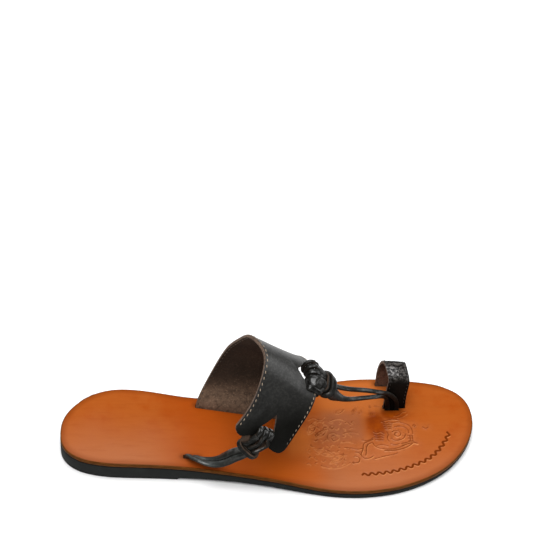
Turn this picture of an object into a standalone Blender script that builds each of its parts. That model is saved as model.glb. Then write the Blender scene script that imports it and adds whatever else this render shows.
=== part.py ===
"""Leather sandal for the right foot: insole, outsole, instep band, two hitched thongs and a toe loop.

Lengths in the tables are millimetres: x from the back of the heel to the toe, y from the
heel-to-toe line towards the inner side of the foot, z up from the floor.
"""

import math
from collections import namedtuple

import bmesh
import bpy
import numpy as np
from mathutils import Vector

MM = 0.001

# Driving dimensions
LENGTH = 272.0
INSOLE_THICKNESS = 3.0
LAYER_GAP = 0.3
STRAP_GAP = 0.3
BAND_WALL = 2.2
TOE_WALL = 2.2
TAILS_WIDTH = 9.4
TAILS_WALL = 2.6
CORD_WIDTH = 3.9
CORD_WALL = 2.8
STRAND_WALL = 2.4
STRAND_BEND = 0.6
STRAP_END_DEPTH = 2.7

# Round ends of the sole outline: how far the round stretch reaches, and how square it is
HEEL_ROUND = 42.2
HEEL_POWER = 2.48
TOE_ROUND = 62.0
TOE_POWER = 2.06

# Colours of the sandal's materials
TAN = (0.50, 0.16, 0.05)
RUBBER_BLACK = (0.02, 0.02, 0.02)
STRAP_BLACK = (0.03, 0.03, 0.03)
LOOP_BROWN_BLACK = (0.03, 0.02, 0.02)

# Fineness of the faceted solids
SOLE_STATIONS = 56
BAND_STEPS = 60
LOOP_STEPS = 40
CORD_STEPS = 26
SLOT_STEPS = 8
TURN_STEPS = 3

OutlineRow = namedtuple("OutlineRow", "x centre half_width")
SOLE_OUTLINE = [
    OutlineRow(0, 0.0, 28.5),
    OutlineRow(25, 4.3, 31.3),
    OutlineRow(50, 4.3, 31.7),
    OutlineRow(80, 1.3, 30.0),
    OutlineRow(110, -0.4, 31.6),
    OutlineRow(140, -0.1, 36.5),
    OutlineRow(170, 2.6, 44.7),
    OutlineRow(200, 5.2, 47.8),
    OutlineRow(225, 7.6, 45.7),
    OutlineRow(250, 12.3, 45.4),
    OutlineRow(272, 19.7, 46.5),
]

ProfileRow = namedtuple("ProfileRow", "x underside top")
HEEL_FRONT = 75.0
BALL_BACK = 178.0
BALL_FRONT = 202.0
SOLE_PROFILE = [
    ProfileRow(0, 0.0, 13.0),
    ProfileRow(HEEL_FRONT, 0.0, 12.7),
    ProfileRow(HEEL_FRONT + 1.0, 1.2, 12.65),
    ProfileRow(92, 1.9, 11.8),
    ProfileRow(112, 2.3, 10.7),
    ProfileRow(128, 1.9, 9.8),
    ProfileRow(145, 1.0, 8.7),
    ProfileRow(162, 0.4, 7.5),
    ProfileRow(BALL_BACK, 0.0, 6.9),
    ProfileRow(BALL_FRONT, 0.0, 6.8),
    ProfileRow(225, 0.4, 7.1),
    ProfileRow(238, 1.3, 7.4),
    ProfileRow(252, 2.3, 7.8),
    ProfileRow(272, 3.2, 8.5),
]

# Rings of a sole layer, from its top to its bottom: inset from the outline, and share of the height
RingRow = namedtuple("RingRow", "inset share")
INSOLE_RINGS = [
    RingRow(0.9, 1.0),
    RingRow(0.25, 0.9),
    RingRow(0.0, 0.7),
    RingRow(0.0, 0.12),
    RingRow(0.3, 0.0),
]
OUTSOLE_RINGS = [
    RingRow(0.5, 1.0),
    RingRow(0.3, 0.92),
    RingRow(0.3, 0.16),
    RingRow(0.9, 0.0),
]

# Instep band: its rear and front edges on the outer face, from the inner slot over to the free outer end
SectionRow = namedtuple("SectionRow", "rear front")
BAND_SECTIONS = [
    SectionRow((87.5, 24.3, 9.4), (140.0, 17.5, 6.4)),
    SectionRow((87.5, 24.3, 12.9), (140.0, 17.5, 9.6)),
    SectionRow((91.5, 29.5, 23.5), (141.5, 25.0, 17.5)),
    SectionRow((96.0, 32.8, 33.5), (143.0, 30.5, 27.0)),
    SectionRow((100.2, 33.8, 44.7), (145.5, 33.0, 37.0)),
    SectionRow((104.5, 32.2, 57.5), (148.5, 32.3, 46.5)),
    SectionRow((108.3, 28.7, 67.7), (151.5, 28.0, 55.5)),
    SectionRow((112.6, 23.0, 78.3), (154.2, 21.0, 62.4)),
    SectionRow((117.8, 14.4, 89.6), (156.9, 12.0, 67.2)),
    SectionRow((123.5, 4.5, 92.3), (159.4, 2.0, 69.2)),
    SectionRow((126.3, -5.0, 90.6), (160.5, -8.5, 67.6)),
    SectionRow((125.2, -12.5, 86.5), (159.0, -15.5, 66.0)),
    SectionRow((121.9, -20.0, 77.0), (155.3, -22.5, 60.0)),
    SectionRow((117.0, -27.0, 68.2), (149.4, -28.3, 51.5)),
    SectionRow((110.4, -31.8, 59.0), (143.6, -33.0, 42.5)),
    SectionRow((104.6, -34.3, 51.0), (138.6, -35.0, 32.5)),
]

# Free outer end of the band: how far each line across stops short of the last section
EndRow = namedtuple("EndRow", "across short")
BAND_END = [
    EndRow(0.0, 8.5),
    EndRow(0.04, 5.8),
    EndRow(0.1, 3.8),
    EndRow(0.17, 2.7),
    EndRow(0.22, 3.4),
    EndRow(0.28, 5.4),
    EndRow(0.36, 6.2),
    EndRow(0.47, 6.2),
    EndRow(0.58, 5.8),
    EndRow(0.66, 3.4),
    EndRow(0.74, 1.4),
    EndRow(0.84, 0.4),
    EndRow(0.92, 0.4),
    EndRow(0.97, 1.6),
    EndRow(1.0, 5.2),
]

# Holes in the band: corners as millimetres back from the last section and share across from the rear edge
HoleRow = namedtuple("HoleRow", "back across")
SIDE_HOLE = [
    HoleRow(25.0, 0.5),
    HoleRow(14.2, 0.33),
    HoleRow(11.0, 0.3),
    HoleRow(11.0, 0.65),
    HoleRow(14.2, 0.63),
]
FRONT_HOLE = [
    HoleRow(68.0, 0.76),
    HoleRow(60.5, 0.66),
    HoleRow(55.0, 0.66),
    HoleRow(47.5, 0.74),
    HoleRow(47.0, 0.85),
    HoleRow(57.5, 0.85),
    HoleRow(68.0, 0.85),
]

# Hitches: strands laid round the band between a hole and an edge, with ridges side by side
HitchRow = namedtuple("HitchRow", "edge hole_side middle ridges pitch reach")
SIDE_HITCH = HitchRow(edge=6.0, hole_side=5.0, middle=0.475, ridges=3, pitch=3.6, reach=4.5)
FRONT_HITCH = HitchRow(edge=0.0, hole_side=6.8, middle=57.6, ridges=4, pitch=4.6, reach=4.0)

# Walls of a hitch's ring in the valleys between its ridges and at its two sides, and the ridges' shoulders
VALLEY_WALL = 1.1
SIDE_WALL = 0.7
RIDGE_SHOULDER = 0.25

# Routes of the thongs: middle of the thong, and the way that its upper flat side faces
RouteRow = namedtuple("RouteRow", "point facing")
TAILS_ROUTE = [
    RouteRow((83.4, -19.6, 9.9), (0.0, 1.0, 0.0)),
    RouteRow((83.4, -19.8, 12.8), (0.0, 1.0, 0.1)),
    RouteRow((85.6, -22.2, 15.6), (-0.1, 0.45, 0.9)),
    RouteRow((93.5, -26.4, 17.1), (-0.2, -0.35, 0.9)),
    RouteRow((102.5, -30.0, 21.6), (-0.25, -0.6, 0.75)),
    RouteRow((110.0, -33.0, 29.0), (-0.2, -0.8, 0.55)),
    RouteRow((117.2, -35.0, 38.2), (-0.1, -0.93, 0.35)),
    RouteRow((120.6, -34.4, 43.4), (0.0, -0.95, 0.3)),
]
UPPER_CORD_ROUTE = [
    RouteRow((162.9, -2.6, 67.2), (0.5, 0.0, 0.85)),
    RouteRow((167.3, -0.4, 62.8), (0.5, 0.0, 0.85)),
    RouteRow((174.2, 2.8, 56.0), (0.4, -0.2, 0.9)),
    RouteRow((184.4, 7.0, 47.4), (0.4, -0.5, 0.75)),
    RouteRow((195.2, 12.0, 41.4), (0.3, -0.6, 0.7)),
    RouteRow((206.2, 17.0, 33.4), (0.3, -0.7, 0.6)),
    RouteRow((214.8, 21.0, 24.4), (0.3, -0.9, 0.3)),
    RouteRow((220.6, 23.4, 15.0), (0.0, -1.0, 0.1)),
    RouteRow((221.6, 23.7, 7.4), (0.0, -1.0, 0.0)),
    RouteRow((221.6, 23.7, 4.2), (0.0, -1.0, 0.0)),
]
LOWER_CORD_ROUTE = [
    RouteRow((162.9, -6.8, 66.2), (0.5, -0.2, 0.85)),
    RouteRow((166.4, -4.6, 60.8), (0.6, -0.3, 0.75)),
    RouteRow((171.6, -0.6, 51.4), (0.6, -0.4, 0.7)),
    RouteRow((181.3, 3.6, 41.6), (0.5, -0.5, 0.75)),
    RouteRow((192.0, 8.4, 36.8), (0.3, -0.6, 0.7)),
    RouteRow((202.7, 13.2, 33.0), (0.3, -0.7, 0.6)),
    RouteRow((210.4, 17.8, 26.6), (0.3, -0.8, 0.4)),
    RouteRow((216.2, 22.0, 17.0), (0.1, -1.0, 0.2)),
    RouteRow((218.0, 23.7, 7.4), (0.0, -1.0, 0.0)),
    RouteRow((218.0, 23.7, 4.2), (0.0, -1.0, 0.0)),
]

# Bights that hold the tails: middle, way along the tails, way that the flat side faces, full sizes
BightRow = namedtuple("BightRow", "middle along facing width wall length")
SIDE_BIGHT = BightRow((117.2, -35.0, 39.2), (-0.62, 0.12, -0.77), (-0.1, -0.93, 0.35), 15.4, 6.0, 5.6)
FRONT_BIGHT = BightRow((167.6, -2.6, 62.0), (0.6, 0.3, -0.74), (0.6, -0.1, 0.8), 17.0, 6.6, 6.0)

# Slots in the insole for the thongs: middle and full sizes across the floor
SlotRow = namedtuple("SlotRow", "x y length width")
TAILS_SLOT = SlotRow(83.4, -19.6, 10.2, 3.4)
CORDS_SLOT = SlotRow(219.6, 23.9, 9.0, 3.8)

# Corners of a thong's section, as shares of its width and wall
ROUND_SECTION = [
    (-0.5, -0.2), (-0.36, -0.5), (0.36, -0.5), (0.5, -0.2),
    (0.5, 0.2), (0.36, 0.5), (-0.36, 0.5), (-0.5, 0.2),
]
PAIR_SECTION = [
    (-0.5, -0.2), (-0.43, -0.5), (-0.07, -0.5), (0.0, -0.3), (0.07, -0.5), (0.43, -0.5), (0.5, -0.2),
    (0.5, 0.2), (0.43, 0.5), (0.07, 0.5), (0.0, 0.3), (-0.07, 0.5), (-0.43, 0.5), (-0.5, 0.2),
]

BIGHT_CORNERS = 16
BIGHT_SQUARENESS = (0.7, 0.8)
BightRing = namedtuple("BightRing", "place size")
BIGHT_RINGS = [
    BightRing(-0.5, 0.8),
    BightRing(-0.36, 1.0),
    BightRing(0.36, 1.0),
    BightRing(0.5, 0.8),
]

# Toe loop: rear and front edges on its outer face, from the inner slot over to the outer slot
TOE_SECTIONS = [
    SectionRow((209.8, 48.8, 4.2), (224.4, 48.6, 4.2)),
    SectionRow((209.8, 48.8, 7.4), (224.4, 48.6, 7.4)),
    SectionRow((209.4, 49.0, 17.0), (223.8, 48.7, 16.5)),
    SectionRow((209.5, 47.2, 26.5), (224.0, 46.8, 25.5)),
    SectionRow((210.2, 43.4, 34.4), (224.8, 43.0, 33.0)),
    SectionRow((211.2, 38.2, 38.2), (225.6, 37.8, 37.0)),
    SectionRow((212.4, 32.5, 37.6), (226.3, 32.3, 37.0)),
    SectionRow((213.3, 27.7, 32.8), (226.6, 27.7, 32.5)),
    SectionRow((212.9, 25.2, 24.0), (226.6, 25.4, 24.0)),
    SectionRow((212.7, 25.0, 15.0), (227.0, 25.4, 15.0)),
    SectionRow((212.8, 25.8, 7.4), (227.6, 26.2, 7.4)),
    SectionRow((212.8, 25.8, 4.2), (227.6, 26.2, 4.2)),
]


def natural_spline(xs, ys, x):
    """Cubic curve through the points (xs, ys), unbent at both ends, read at x; ys may hold points."""
    xs = np.asarray(xs, float)
    ys = np.asarray(ys, float)
    x = np.atleast_1d(np.asarray(x, float))
    count = len(xs)
    step = np.diff(xs)
    slope = (np.diff(ys, axis=0).T / step).T
    matrix = np.eye(count)
    right = np.zeros_like(ys)
    for i in range(1, count - 1):
        matrix[i, i - 1] = step[i - 1]
        matrix[i, i] = 2 * (step[i - 1] + step[i])
        matrix[i, i + 1] = step[i]
        right[i] = 6 * (slope[i] - slope[i - 1])
    bend = np.linalg.solve(matrix, right)
    k = np.clip(np.searchsorted(xs, x) - 1, 0, count - 2)
    h = step[k]
    a = (xs[k + 1] - x) / h
    b = (x - xs[k]) / h
    if ys.ndim > 1:
        a, b, h = a[:, None], b[:, None], h[:, None]
    return a * ys[k] + b * ys[k + 1] + ((a**3 - a) * bend[k] + (b**3 - b) * bend[k + 1]) * h * h / 6


def sole_edge(x):
    """Centre and half width of the sole outline at x, narrowing round both ends."""
    rows = SOLE_OUTLINE
    centre = natural_spline([r.x for r in rows], [r.centre for r in rows], x)
    half = natural_spline([r.x for r in rows], [r.half_width for r in rows], x)
    heel = np.clip(1 - x / HEEL_ROUND, 0, 1)
    toe = np.clip(1 - (LENGTH - x) / TOE_ROUND, 0, 1)
    half = half * (1 - heel**HEEL_POWER) ** (1 / HEEL_POWER)
    half = half * (1 - toe**TOE_POWER) ** (1 / TOE_POWER)
    return centre, half


def sole_outline():
    """Outline points: heel, outer side, toe, then back along the inner side."""
    turn = np.linspace(0, math.pi, SOLE_STATIONS + 1)
    x = LENGTH * (1 - np.cos(turn)) / 2
    flats = np.array([HEEL_FRONT, HEEL_FRONT + 1.0, BALL_BACK, BALL_FRONT])
    for flat in flats:
        x[np.argmin(np.abs(x - flat))] = flat
    centre, half = sole_edge(x)
    outer = np.column_stack([x, centre - half])
    inner = np.column_stack([x, centre + half])[::-1][1:-1]
    return np.vstack([outer, inner])


OUTLINE = sole_outline()
MIDDLE_Y = (OUTLINE[:, 1].min() + OUTLINE[:, 1].max()) / 2


def in_frame(point):
    """Metres in the part's frame, whose origin is below the middle of the sole."""
    x, y, z = point
    return Vector((float(x) - LENGTH / 2, float(y) - MIDDLE_Y, float(z))) * MM


def inset_outline(outline, distance):
    """The closed outline moved inwards by a distance."""
    along = np.roll(outline, -1, axis=0) - np.roll(outline, 1, axis=0)
    along /= np.linalg.norm(along, axis=1)[:, None]
    inwards = np.column_stack([-along[:, 1], along[:, 0]])
    return outline + inwards * distance


def profile_height(x, column):
    """Height of the sole's underside or top at x."""
    xs = [row.x for row in SOLE_PROFILE]
    ys = [getattr(row, column) for row in SOLE_PROFILE]
    if column == "underside":
        return np.interp(x, xs, ys)
    return natural_spline(xs, ys, x)


def new_object(name, bm, material):
    """An object with the mesh of bm, in the scene."""
    bmesh.ops.recalc_face_normals(bm, faces=bm.faces)
    mesh = bpy.data.meshes.new(name)
    bm.to_mesh(mesh)
    bm.free()
    obj = bpy.data.objects.new(name, mesh)
    bpy.context.scene.collection.objects.link(obj)
    if material:
        mesh.materials.append(material)
    return obj


def finish(name, colour, roughness):
    """A plain material for one sub-part."""
    material = bpy.data.materials.new(name)
    material.use_nodes = True
    shader = material.node_tree.nodes["Principled BSDF"]
    shader.inputs["Base Color"].default_value = (*colour, 1.0)
    shader.inputs["Roughness"].default_value = roughness
    shader.inputs["Metallic"].default_value = 0.0
    return material


def sole_layer(name, rings, low, high, material):
    """One flat layer of the sole; low and high give its faces' heights at x."""
    bm = bmesh.new()
    count = len(OUTLINE)
    loops = []
    for ring in rings:
        points = inset_outline(OUTLINE, ring.inset)
        bottom = low(points[:, 0])
        top = high(points[:, 0])
        heights = bottom + ring.share * (top - bottom)
        loops.append([bm.verts.new(in_frame((p[0], p[1], h))) for p, h in zip(points, heights)])
    for upper, lower in zip(loops, loops[1:]):
        for i in range(count):
            j = (i + 1) % count
            bm.faces.new((upper[i], upper[j], lower[j], lower[i]))
    for cap in (loops[0], loops[-1]):
        bm.faces.new((cap[0], cap[1], cap[-1]))
        for i in range(1, count // 2 - 1):
            bm.faces.new((cap[i], cap[i + 1], cap[-i - 1], cap[-i]))
        middle = count // 2
        bm.faces.new((cap[middle - 1], cap[middle], cap[middle + 1]))
    bmesh.ops.triangulate(bm, faces=bm.faces)
    return new_object(name, bm, material)


class Sheet:
    """A strap's outer face: straight lines from its rear edge to its front edge."""

    def __init__(self, sections):
        rear = np.array([row.rear for row in sections], float)
        front = np.array([row.front for row in sections], float)
        middle = (rear + front) / 2
        steps = np.linalg.norm(np.diff(middle, axis=0), axis=1)
        self.stations = np.concatenate([[0.0], np.cumsum(steps)])
        self.length = self.stations[-1]
        self.rear = rear
        self.front = front

    def point(self, along, across):
        """Point on the outer face, along in millimetres and across from 0 at the rear to 1 at the front."""
        rear = natural_spline(self.stations, self.rear, along)[0]
        front = natural_spline(self.stations, self.front, along)[0]
        return rear + (front - rear) * across

    def width(self, along):
        """Distance from the rear edge to the front edge."""
        return float(np.linalg.norm(self.point(along, 1.0) - self.point(along, 0.0)))

    def normal(self, along, across):
        """Unit normal of the outer face, away from the foot."""
        step = 0.5
        ahead = self.point(along + step, across) - self.point(along - step, across)
        over = self.point(along, 1.0) - self.point(along, 0.0)
        normal = np.cross(ahead, over)
        return normal / np.linalg.norm(normal)

    def offset(self, along, across, height):
        """Point at a height above the outer face, or below it where the height is negative."""
        return self.point(along, across) + self.normal(along, across) * height


def sheet_solid(name, sheet, start, ends, columns, steps, outside, inside, material):
    """A closed wall on a sheet, from start to ends[j] on column j, between two heights."""
    bm = bmesh.new()
    faces = []
    for height in (outside, inside):
        grid = []
        for across, end in zip(columns, ends):
            line = [start + (end - start) * i / steps for i in range(steps + 1)]
            grid.append([bm.verts.new(in_frame(sheet.offset(a, across, height))) for a in line])
        faces.append(grid)
    outer, inner = faces
    width = len(columns)
    for j in range(width - 1):
        for i in range(steps):
            bm.faces.new((outer[j][i], outer[j + 1][i], outer[j + 1][i + 1], outer[j][i + 1]))
            bm.faces.new((inner[j][i], inner[j][i + 1], inner[j + 1][i + 1], inner[j + 1][i]))
    for j in (0, width - 1):
        for i in range(steps):
            bm.faces.new((outer[j][i], outer[j][i + 1], inner[j][i + 1], inner[j][i]))
    for i in (0, steps):
        for j in range(width - 1):
            bm.faces.new((outer[j][i], outer[j + 1][i], inner[j + 1][i], inner[j][i]))
    bmesh.ops.triangulate(bm, faces=bm.faces)
    return new_object(name, bm, material)


def cut(body, cutter):
    """Cut the cutter's shape out of the body."""
    hide_cutter(cutter)
    modifier = body.modifiers.new("cut_" + cutter.name, "BOOLEAN")
    modifier.operation = "DIFFERENCE"
    modifier.solver = "EXACT"
    modifier.object = cutter


def fuse(body, other):
    """Join the other shape into the body."""
    hide_cutter(other)
    modifier = body.modifiers.new("fuse_" + other.name, "BOOLEAN")
    modifier.operation = "UNION"
    modifier.solver = "EXACT"
    modifier.object = other


def hide_cutter(obj):
    """Mark a guide shape, which is no piece of the sandal."""
    obj.hide_render = True
    obj.display_type = "WIRE"


def prism(name, corners, directions, reach):
    """A straight prism through a ring of points, each moved along its direction both ways."""
    bm = bmesh.new()
    near = [bm.verts.new(in_frame(p - d * reach)) for p, d in zip(corners, directions)]
    far = [bm.verts.new(in_frame(p + d * reach)) for p, d in zip(corners, directions)]
    count = len(corners)
    bm.faces.new(near)
    bm.faces.new(far)
    for i in range(count):
        j = (i + 1) % count
        bm.faces.new((near[i], near[j], far[j], far[i]))
    bmesh.ops.triangulate(bm, faces=bm.faces)
    return new_object(name, bm, None)


def hole_cutter(name, sheet, hole):
    """Cutter for a hole in a strap, square to the strap at each corner."""
    reach = 3 * BAND_WALL
    corners = []
    directions = []
    for row in hole:
        along = sheet.length - row.back
        corners.append(sheet.offset(along, row.across, -BAND_WALL / 2))
        directions.append(sheet.normal(along, row.across))
    return prism(name, corners, directions, reach)


def slot_cutter(name, slot):
    """Cutter for a thong's slot in the insole, straight down through it."""
    corners = []
    for right, back in ((-1, -1), (1, -1), (1, 1), (-1, 1)):
        x = slot.x + right * slot.length / 2
        y = slot.y + back * slot.width / 2
        corners.append(np.array([x, y, profile_height(slot.x, "top").item() - INSOLE_THICKNESS / 2]))
    upwards = [np.array([0.0, 0.0, 1.0])] * len(corners)
    return prism(name, corners, upwards, 2 * INSOLE_THICKNESS)


def strap_slot_cutter(name, sheet, from_start, wall):
    """Cutter for a strap's slot in the insole, larger than the strap's end by the gap all round."""
    depth = 3 * INSOLE_THICKNESS
    margin = STRAP_GAP / sheet.width(0.0 if from_start else sheet.length)
    start = -STRAP_END_DEPTH if from_start else sheet.length - depth
    end = depth if from_start else sheet.length + STRAP_END_DEPTH
    columns = [-margin, 0.5, 1.0 + margin]
    return sheet_solid(name, sheet, start, [end] * 3, columns, SLOT_STEPS, STRAP_GAP, -wall - STRAP_GAP, None)


def unit(vector):
    """The vector at length one."""
    vector = np.asarray(vector, float)
    return vector / np.linalg.norm(vector)


def loft(name, rings, closed, material):
    """A skin over rings of points; closed joins the last ring to the first, otherwise both ends are capped."""
    bm = bmesh.new()
    loops = [[bm.verts.new(in_frame(p)) for p in ring] for ring in rings]
    count = len(loops[0])
    pairs = list(zip(loops, loops[1:]))
    if closed:
        pairs.append((loops[-1], loops[0]))
    for first, second in pairs:
        for i in range(count):
            j = (i + 1) % count
            bm.faces.new((first[i], first[j], second[j], second[i]))
    if not closed:
        bm.faces.new(loops[0])
        bm.faces.new(loops[-1])
    bmesh.ops.triangulate(bm, faces=bm.faces)
    return new_object(name, bm, material)


def thong(name, route, section, width, wall, steps, material):
    """A thong swept along a smooth curve through its route."""
    points = np.array([row.point for row in route], float)
    facing = np.array([row.facing for row in route], float)
    reach = np.concatenate([[0.0], np.cumsum(np.linalg.norm(np.diff(points, axis=0), axis=1))])
    places = np.linspace(0, reach[-1], steps + 1)
    line = natural_spline(reach, points, places)
    ways = np.gradient(line, axis=0)
    rings = []
    for place, middle, way in zip(places, line, ways):
        along = unit(way)
        up = np.array([np.interp(place, reach, facing[:, k]) for k in range(3)])
        up = unit(up - along * up.dot(along))
        side = np.cross(along, up)
        rings.append([middle + side * a * width + up * b * wall for a, b in section])
    return loft(name, rings, False, material)


def bight_section():
    """Corners of the bight's section, a flat oval, as shares of its width and wall."""
    across, over = BIGHT_SQUARENESS
    corners = []
    for turn in np.linspace(0, 2 * math.pi, BIGHT_CORNERS, endpoint=False):
        a = math.copysign(abs(math.cos(turn)) ** across, math.cos(turn)) / 2
        b = math.copysign(abs(math.sin(turn)) ** over, math.sin(turn)) / 2
        corners.append((a, b))
    return corners


def bight(name, row, material):
    """The turn of thong that holds the tails: a flat oval ring, filled by the tails inside it."""
    along = unit(row.along)
    up = np.asarray(row.facing, float)
    up = unit(up - along * up.dot(along))
    side = np.cross(along, up)
    rings = []
    for ring in BIGHT_RINGS:
        middle = np.array(row.middle) + along * ring.place * row.length
        width = row.width - row.wall * (1 - ring.size)
        wall = row.wall * ring.size
        rings.append([middle + side * a * width + up * b * wall for a, b in bight_section()])
    return loft(name, rings, False, material)


def hitch_strands(name, place, hitch, material):
    """Strands laid round the strap's edge and back through its hole, as one ridged ring.

    place(inwards, sideways, height) gives the point at a distance in from the strap's edge,
    along that edge, and above the strap's outer face.
    """
    low = -BAND_WALL - STRAP_GAP + STRAND_BEND
    high = STRAP_GAP - STRAND_BEND
    outer = -hitch.reach + STRAND_BEND
    inner = hitch.hole_side + STRAP_GAP - STRAND_BEND
    turns = np.linspace(0, math.pi / 2, TURN_STEPS + 1)
    path = []
    for corner, first in (((outer, high), 0.0), ((outer, low), 0.5), ((inner, low), 1.0), ((inner, high), 1.5)):
        for turn in turns:
            angle = first * math.pi + turn
            path.append((corner, (-math.sin(angle), math.cos(angle))))
    width = hitch.ridges * hitch.pitch
    outside = []
    for ridge in range(hitch.ridges):
        start = -width / 2 + ridge * hitch.pitch
        valley = VALLEY_WALL if ridge else SIDE_WALL
        outside.append((start, valley))
        outside.append((start + RIDGE_SHOULDER * hitch.pitch, STRAND_WALL))
        outside.append((start + (1 - RIDGE_SHOULDER) * hitch.pitch, STRAND_WALL))
    outside.append((width / 2, SIDE_WALL))
    inside = [(width / 2 - ridge * hitch.pitch, 0.0) for ridge in range(hitch.ridges + 1)]
    rings = []
    for (inwards, height), (turn_in, turn_up) in path:
        ring = []
        for sideways, thickness in outside + inside:
            reach = STRAND_BEND + thickness
            ring.append(place(inwards + turn_in * reach, sideways, height + turn_up * reach))
        rings.append(ring)
    return loft(name, rings, True, material)


def underside(x):
    """Height of the sole's underside at x."""
    return profile_height(x, "underside")


def insole_top(x):
    """Height of the insole's top at x."""
    return profile_height(x, "top")


def insole_bottom(x):
    """Height of the insole's underside at x."""
    return insole_top(x) - INSOLE_THICKNESS


def outsole_top(x):
    """Height of the outsole's top at x, a gap below the insole."""
    return insole_bottom(x) - LAYER_GAP


def make_insole(band_sheet, toe_sheet):
    """The tan leather board that the foot stands on, with a slot for each strap."""
    insole = sole_layer("insole", INSOLE_RINGS, insole_bottom, insole_top, finish("insole_leather", TAN, 0.5))
    cut(insole, strap_slot_cutter("band_slot", band_sheet, True, BAND_WALL))
    cut(insole, strap_slot_cutter("toe_inner_slot", toe_sheet, True, TOE_WALL))
    cut(insole, strap_slot_cutter("toe_outer_slot", toe_sheet, False, TOE_WALL))
    cut(insole, slot_cutter("tails_slot", TAILS_SLOT))
    cut(insole, slot_cutter("cords_slot", CORDS_SLOT))


def make_outsole():
    """The black rubber sole with its low heel."""
    sole_layer("outsole", OUTSOLE_RINGS, underside, outsole_top, finish("outsole_rubber", RUBBER_BLACK, 0.7))


def make_band(sheet):
    """The instep band, with its two lobes and its two holes."""
    columns = [row.across for row in BAND_END]
    ends = [sheet.length - row.short for row in BAND_END]
    leather = finish("band_leather", STRAP_BLACK, 0.45)
    band = sheet_solid("band", sheet, 0.0, ends, columns, BAND_STEPS, 0.0, -BAND_WALL, leather)
    cut(band, hole_cutter("side_hole", sheet, SIDE_HOLE))
    cut(band, hole_cutter("front_hole", sheet, FRONT_HOLE))


def make_toe_loop(sheet):
    """The loop for the big toe."""
    columns = [0.0, 0.25, 0.5, 0.75, 1.0]
    ends = [sheet.length] * len(columns)
    leather = finish("toe_loop_leather", LOOP_BROWN_BLACK, 0.35)
    sheet_solid("toe_loop", sheet, 0.0, ends, columns, LOOP_STEPS, 0.0, -TOE_WALL, leather)


def make_side_strap(band_sheet):
    """The thong hitched through the band's outer hole, down to its slot."""
    def by_side_edge(inwards, sideways, height):
        along = band_sheet.length - SIDE_HITCH.edge - inwards
        across = SIDE_HITCH.middle + sideways / band_sheet.width(along)
        return band_sheet.offset(along, across, height)

    leather = finish("side_strap_leather", STRAP_BLACK, 0.4)
    strap = thong("side_strap", TAILS_ROUTE, PAIR_SECTION, TAILS_WIDTH, TAILS_WALL, CORD_STEPS, leather)
    fuse(strap, bight("side_bight", SIDE_BIGHT, None))
    fuse(strap, hitch_strands("side_strands", by_side_edge, SIDE_HITCH, None))


def make_front_strap(band_sheet):
    """The thong hitched through the band's front hole, on to the slot beside the toe loop."""
    def by_front_edge(inwards, sideways, height):
        along = band_sheet.length - FRONT_HITCH.middle - sideways
        across = 1.0 - inwards / band_sheet.width(along)
        return band_sheet.offset(along, across, height)

    leather = finish("front_strap_leather", STRAP_BLACK, 0.4)
    strap = thong("front_strap", UPPER_CORD_ROUTE, ROUND_SECTION, CORD_WIDTH, CORD_WALL, CORD_STEPS, leather)
    fuse(strap, thong("lower_cord", LOWER_CORD_ROUTE, ROUND_SECTION, CORD_WIDTH, CORD_WALL, CORD_STEPS, None))
    fuse(strap, bight("front_bight", FRONT_BIGHT, None))
    fuse(strap, hitch_strands("front_strands", by_front_edge, FRONT_HITCH, None))


def build():
    """Make every piece of the sandal."""
    band_sheet = Sheet(BAND_SECTIONS)
    toe_sheet = Sheet(TOE_SECTIONS)
    make_outsole()
    make_insole(band_sheet, toe_sheet)
    make_band(band_sheet)
    make_toe_loop(toe_sheet)
    make_side_strap(band_sheet)
    make_front_strap(band_sheet)


for old in list(bpy.data.objects):
    bpy.data.objects.remove(old, do_unlink=True)
build()
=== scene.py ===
"""Leather toe-loop sandal for the right foot, dressed over its CAD model.

Lengths in the tables are millimetres, as in the part's source: x from the back of the heel to the
toe, y from the heel-to-toe line towards the inner side, z up from the floor.
"""

import math
from collections import namedtuple

import bmesh
import bpy
import numpy as np
from mathutils import Euler, Matrix, Vector
from mathutils.kdtree import KDTree


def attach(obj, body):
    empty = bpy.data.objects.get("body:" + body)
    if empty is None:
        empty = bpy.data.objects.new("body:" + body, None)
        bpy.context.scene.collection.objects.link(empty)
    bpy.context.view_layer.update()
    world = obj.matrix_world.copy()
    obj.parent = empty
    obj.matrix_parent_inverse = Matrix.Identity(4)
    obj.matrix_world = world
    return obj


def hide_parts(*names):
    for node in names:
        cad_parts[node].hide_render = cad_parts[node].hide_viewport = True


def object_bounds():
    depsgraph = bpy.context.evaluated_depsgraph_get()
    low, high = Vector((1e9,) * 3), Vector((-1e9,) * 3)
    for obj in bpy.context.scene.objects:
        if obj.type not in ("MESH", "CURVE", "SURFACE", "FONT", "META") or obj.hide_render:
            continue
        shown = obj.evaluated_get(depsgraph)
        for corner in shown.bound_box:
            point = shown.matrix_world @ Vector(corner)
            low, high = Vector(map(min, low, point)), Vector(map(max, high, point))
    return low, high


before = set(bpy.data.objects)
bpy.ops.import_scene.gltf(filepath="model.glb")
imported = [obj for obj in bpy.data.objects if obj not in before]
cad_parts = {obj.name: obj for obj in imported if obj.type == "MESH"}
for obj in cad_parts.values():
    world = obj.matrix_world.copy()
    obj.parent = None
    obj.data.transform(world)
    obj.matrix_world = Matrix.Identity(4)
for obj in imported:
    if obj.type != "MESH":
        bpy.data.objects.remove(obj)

bl_info = {
    "name": "Toe-loop sandal",
    "version": (1, 0, 0),
    "blender": (4, 5, 0),
    "location": "View3D > Sidebar > Sandal",
    "description": "Models a leather toe-loop sandal, piece by piece",
    "category": "Object",
}

CAD_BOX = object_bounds()
MM = 0.001


def table(kind, *rows):
    """Rows of numbers whose columns have names."""
    return [kind(*row) for row in rows]


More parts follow.
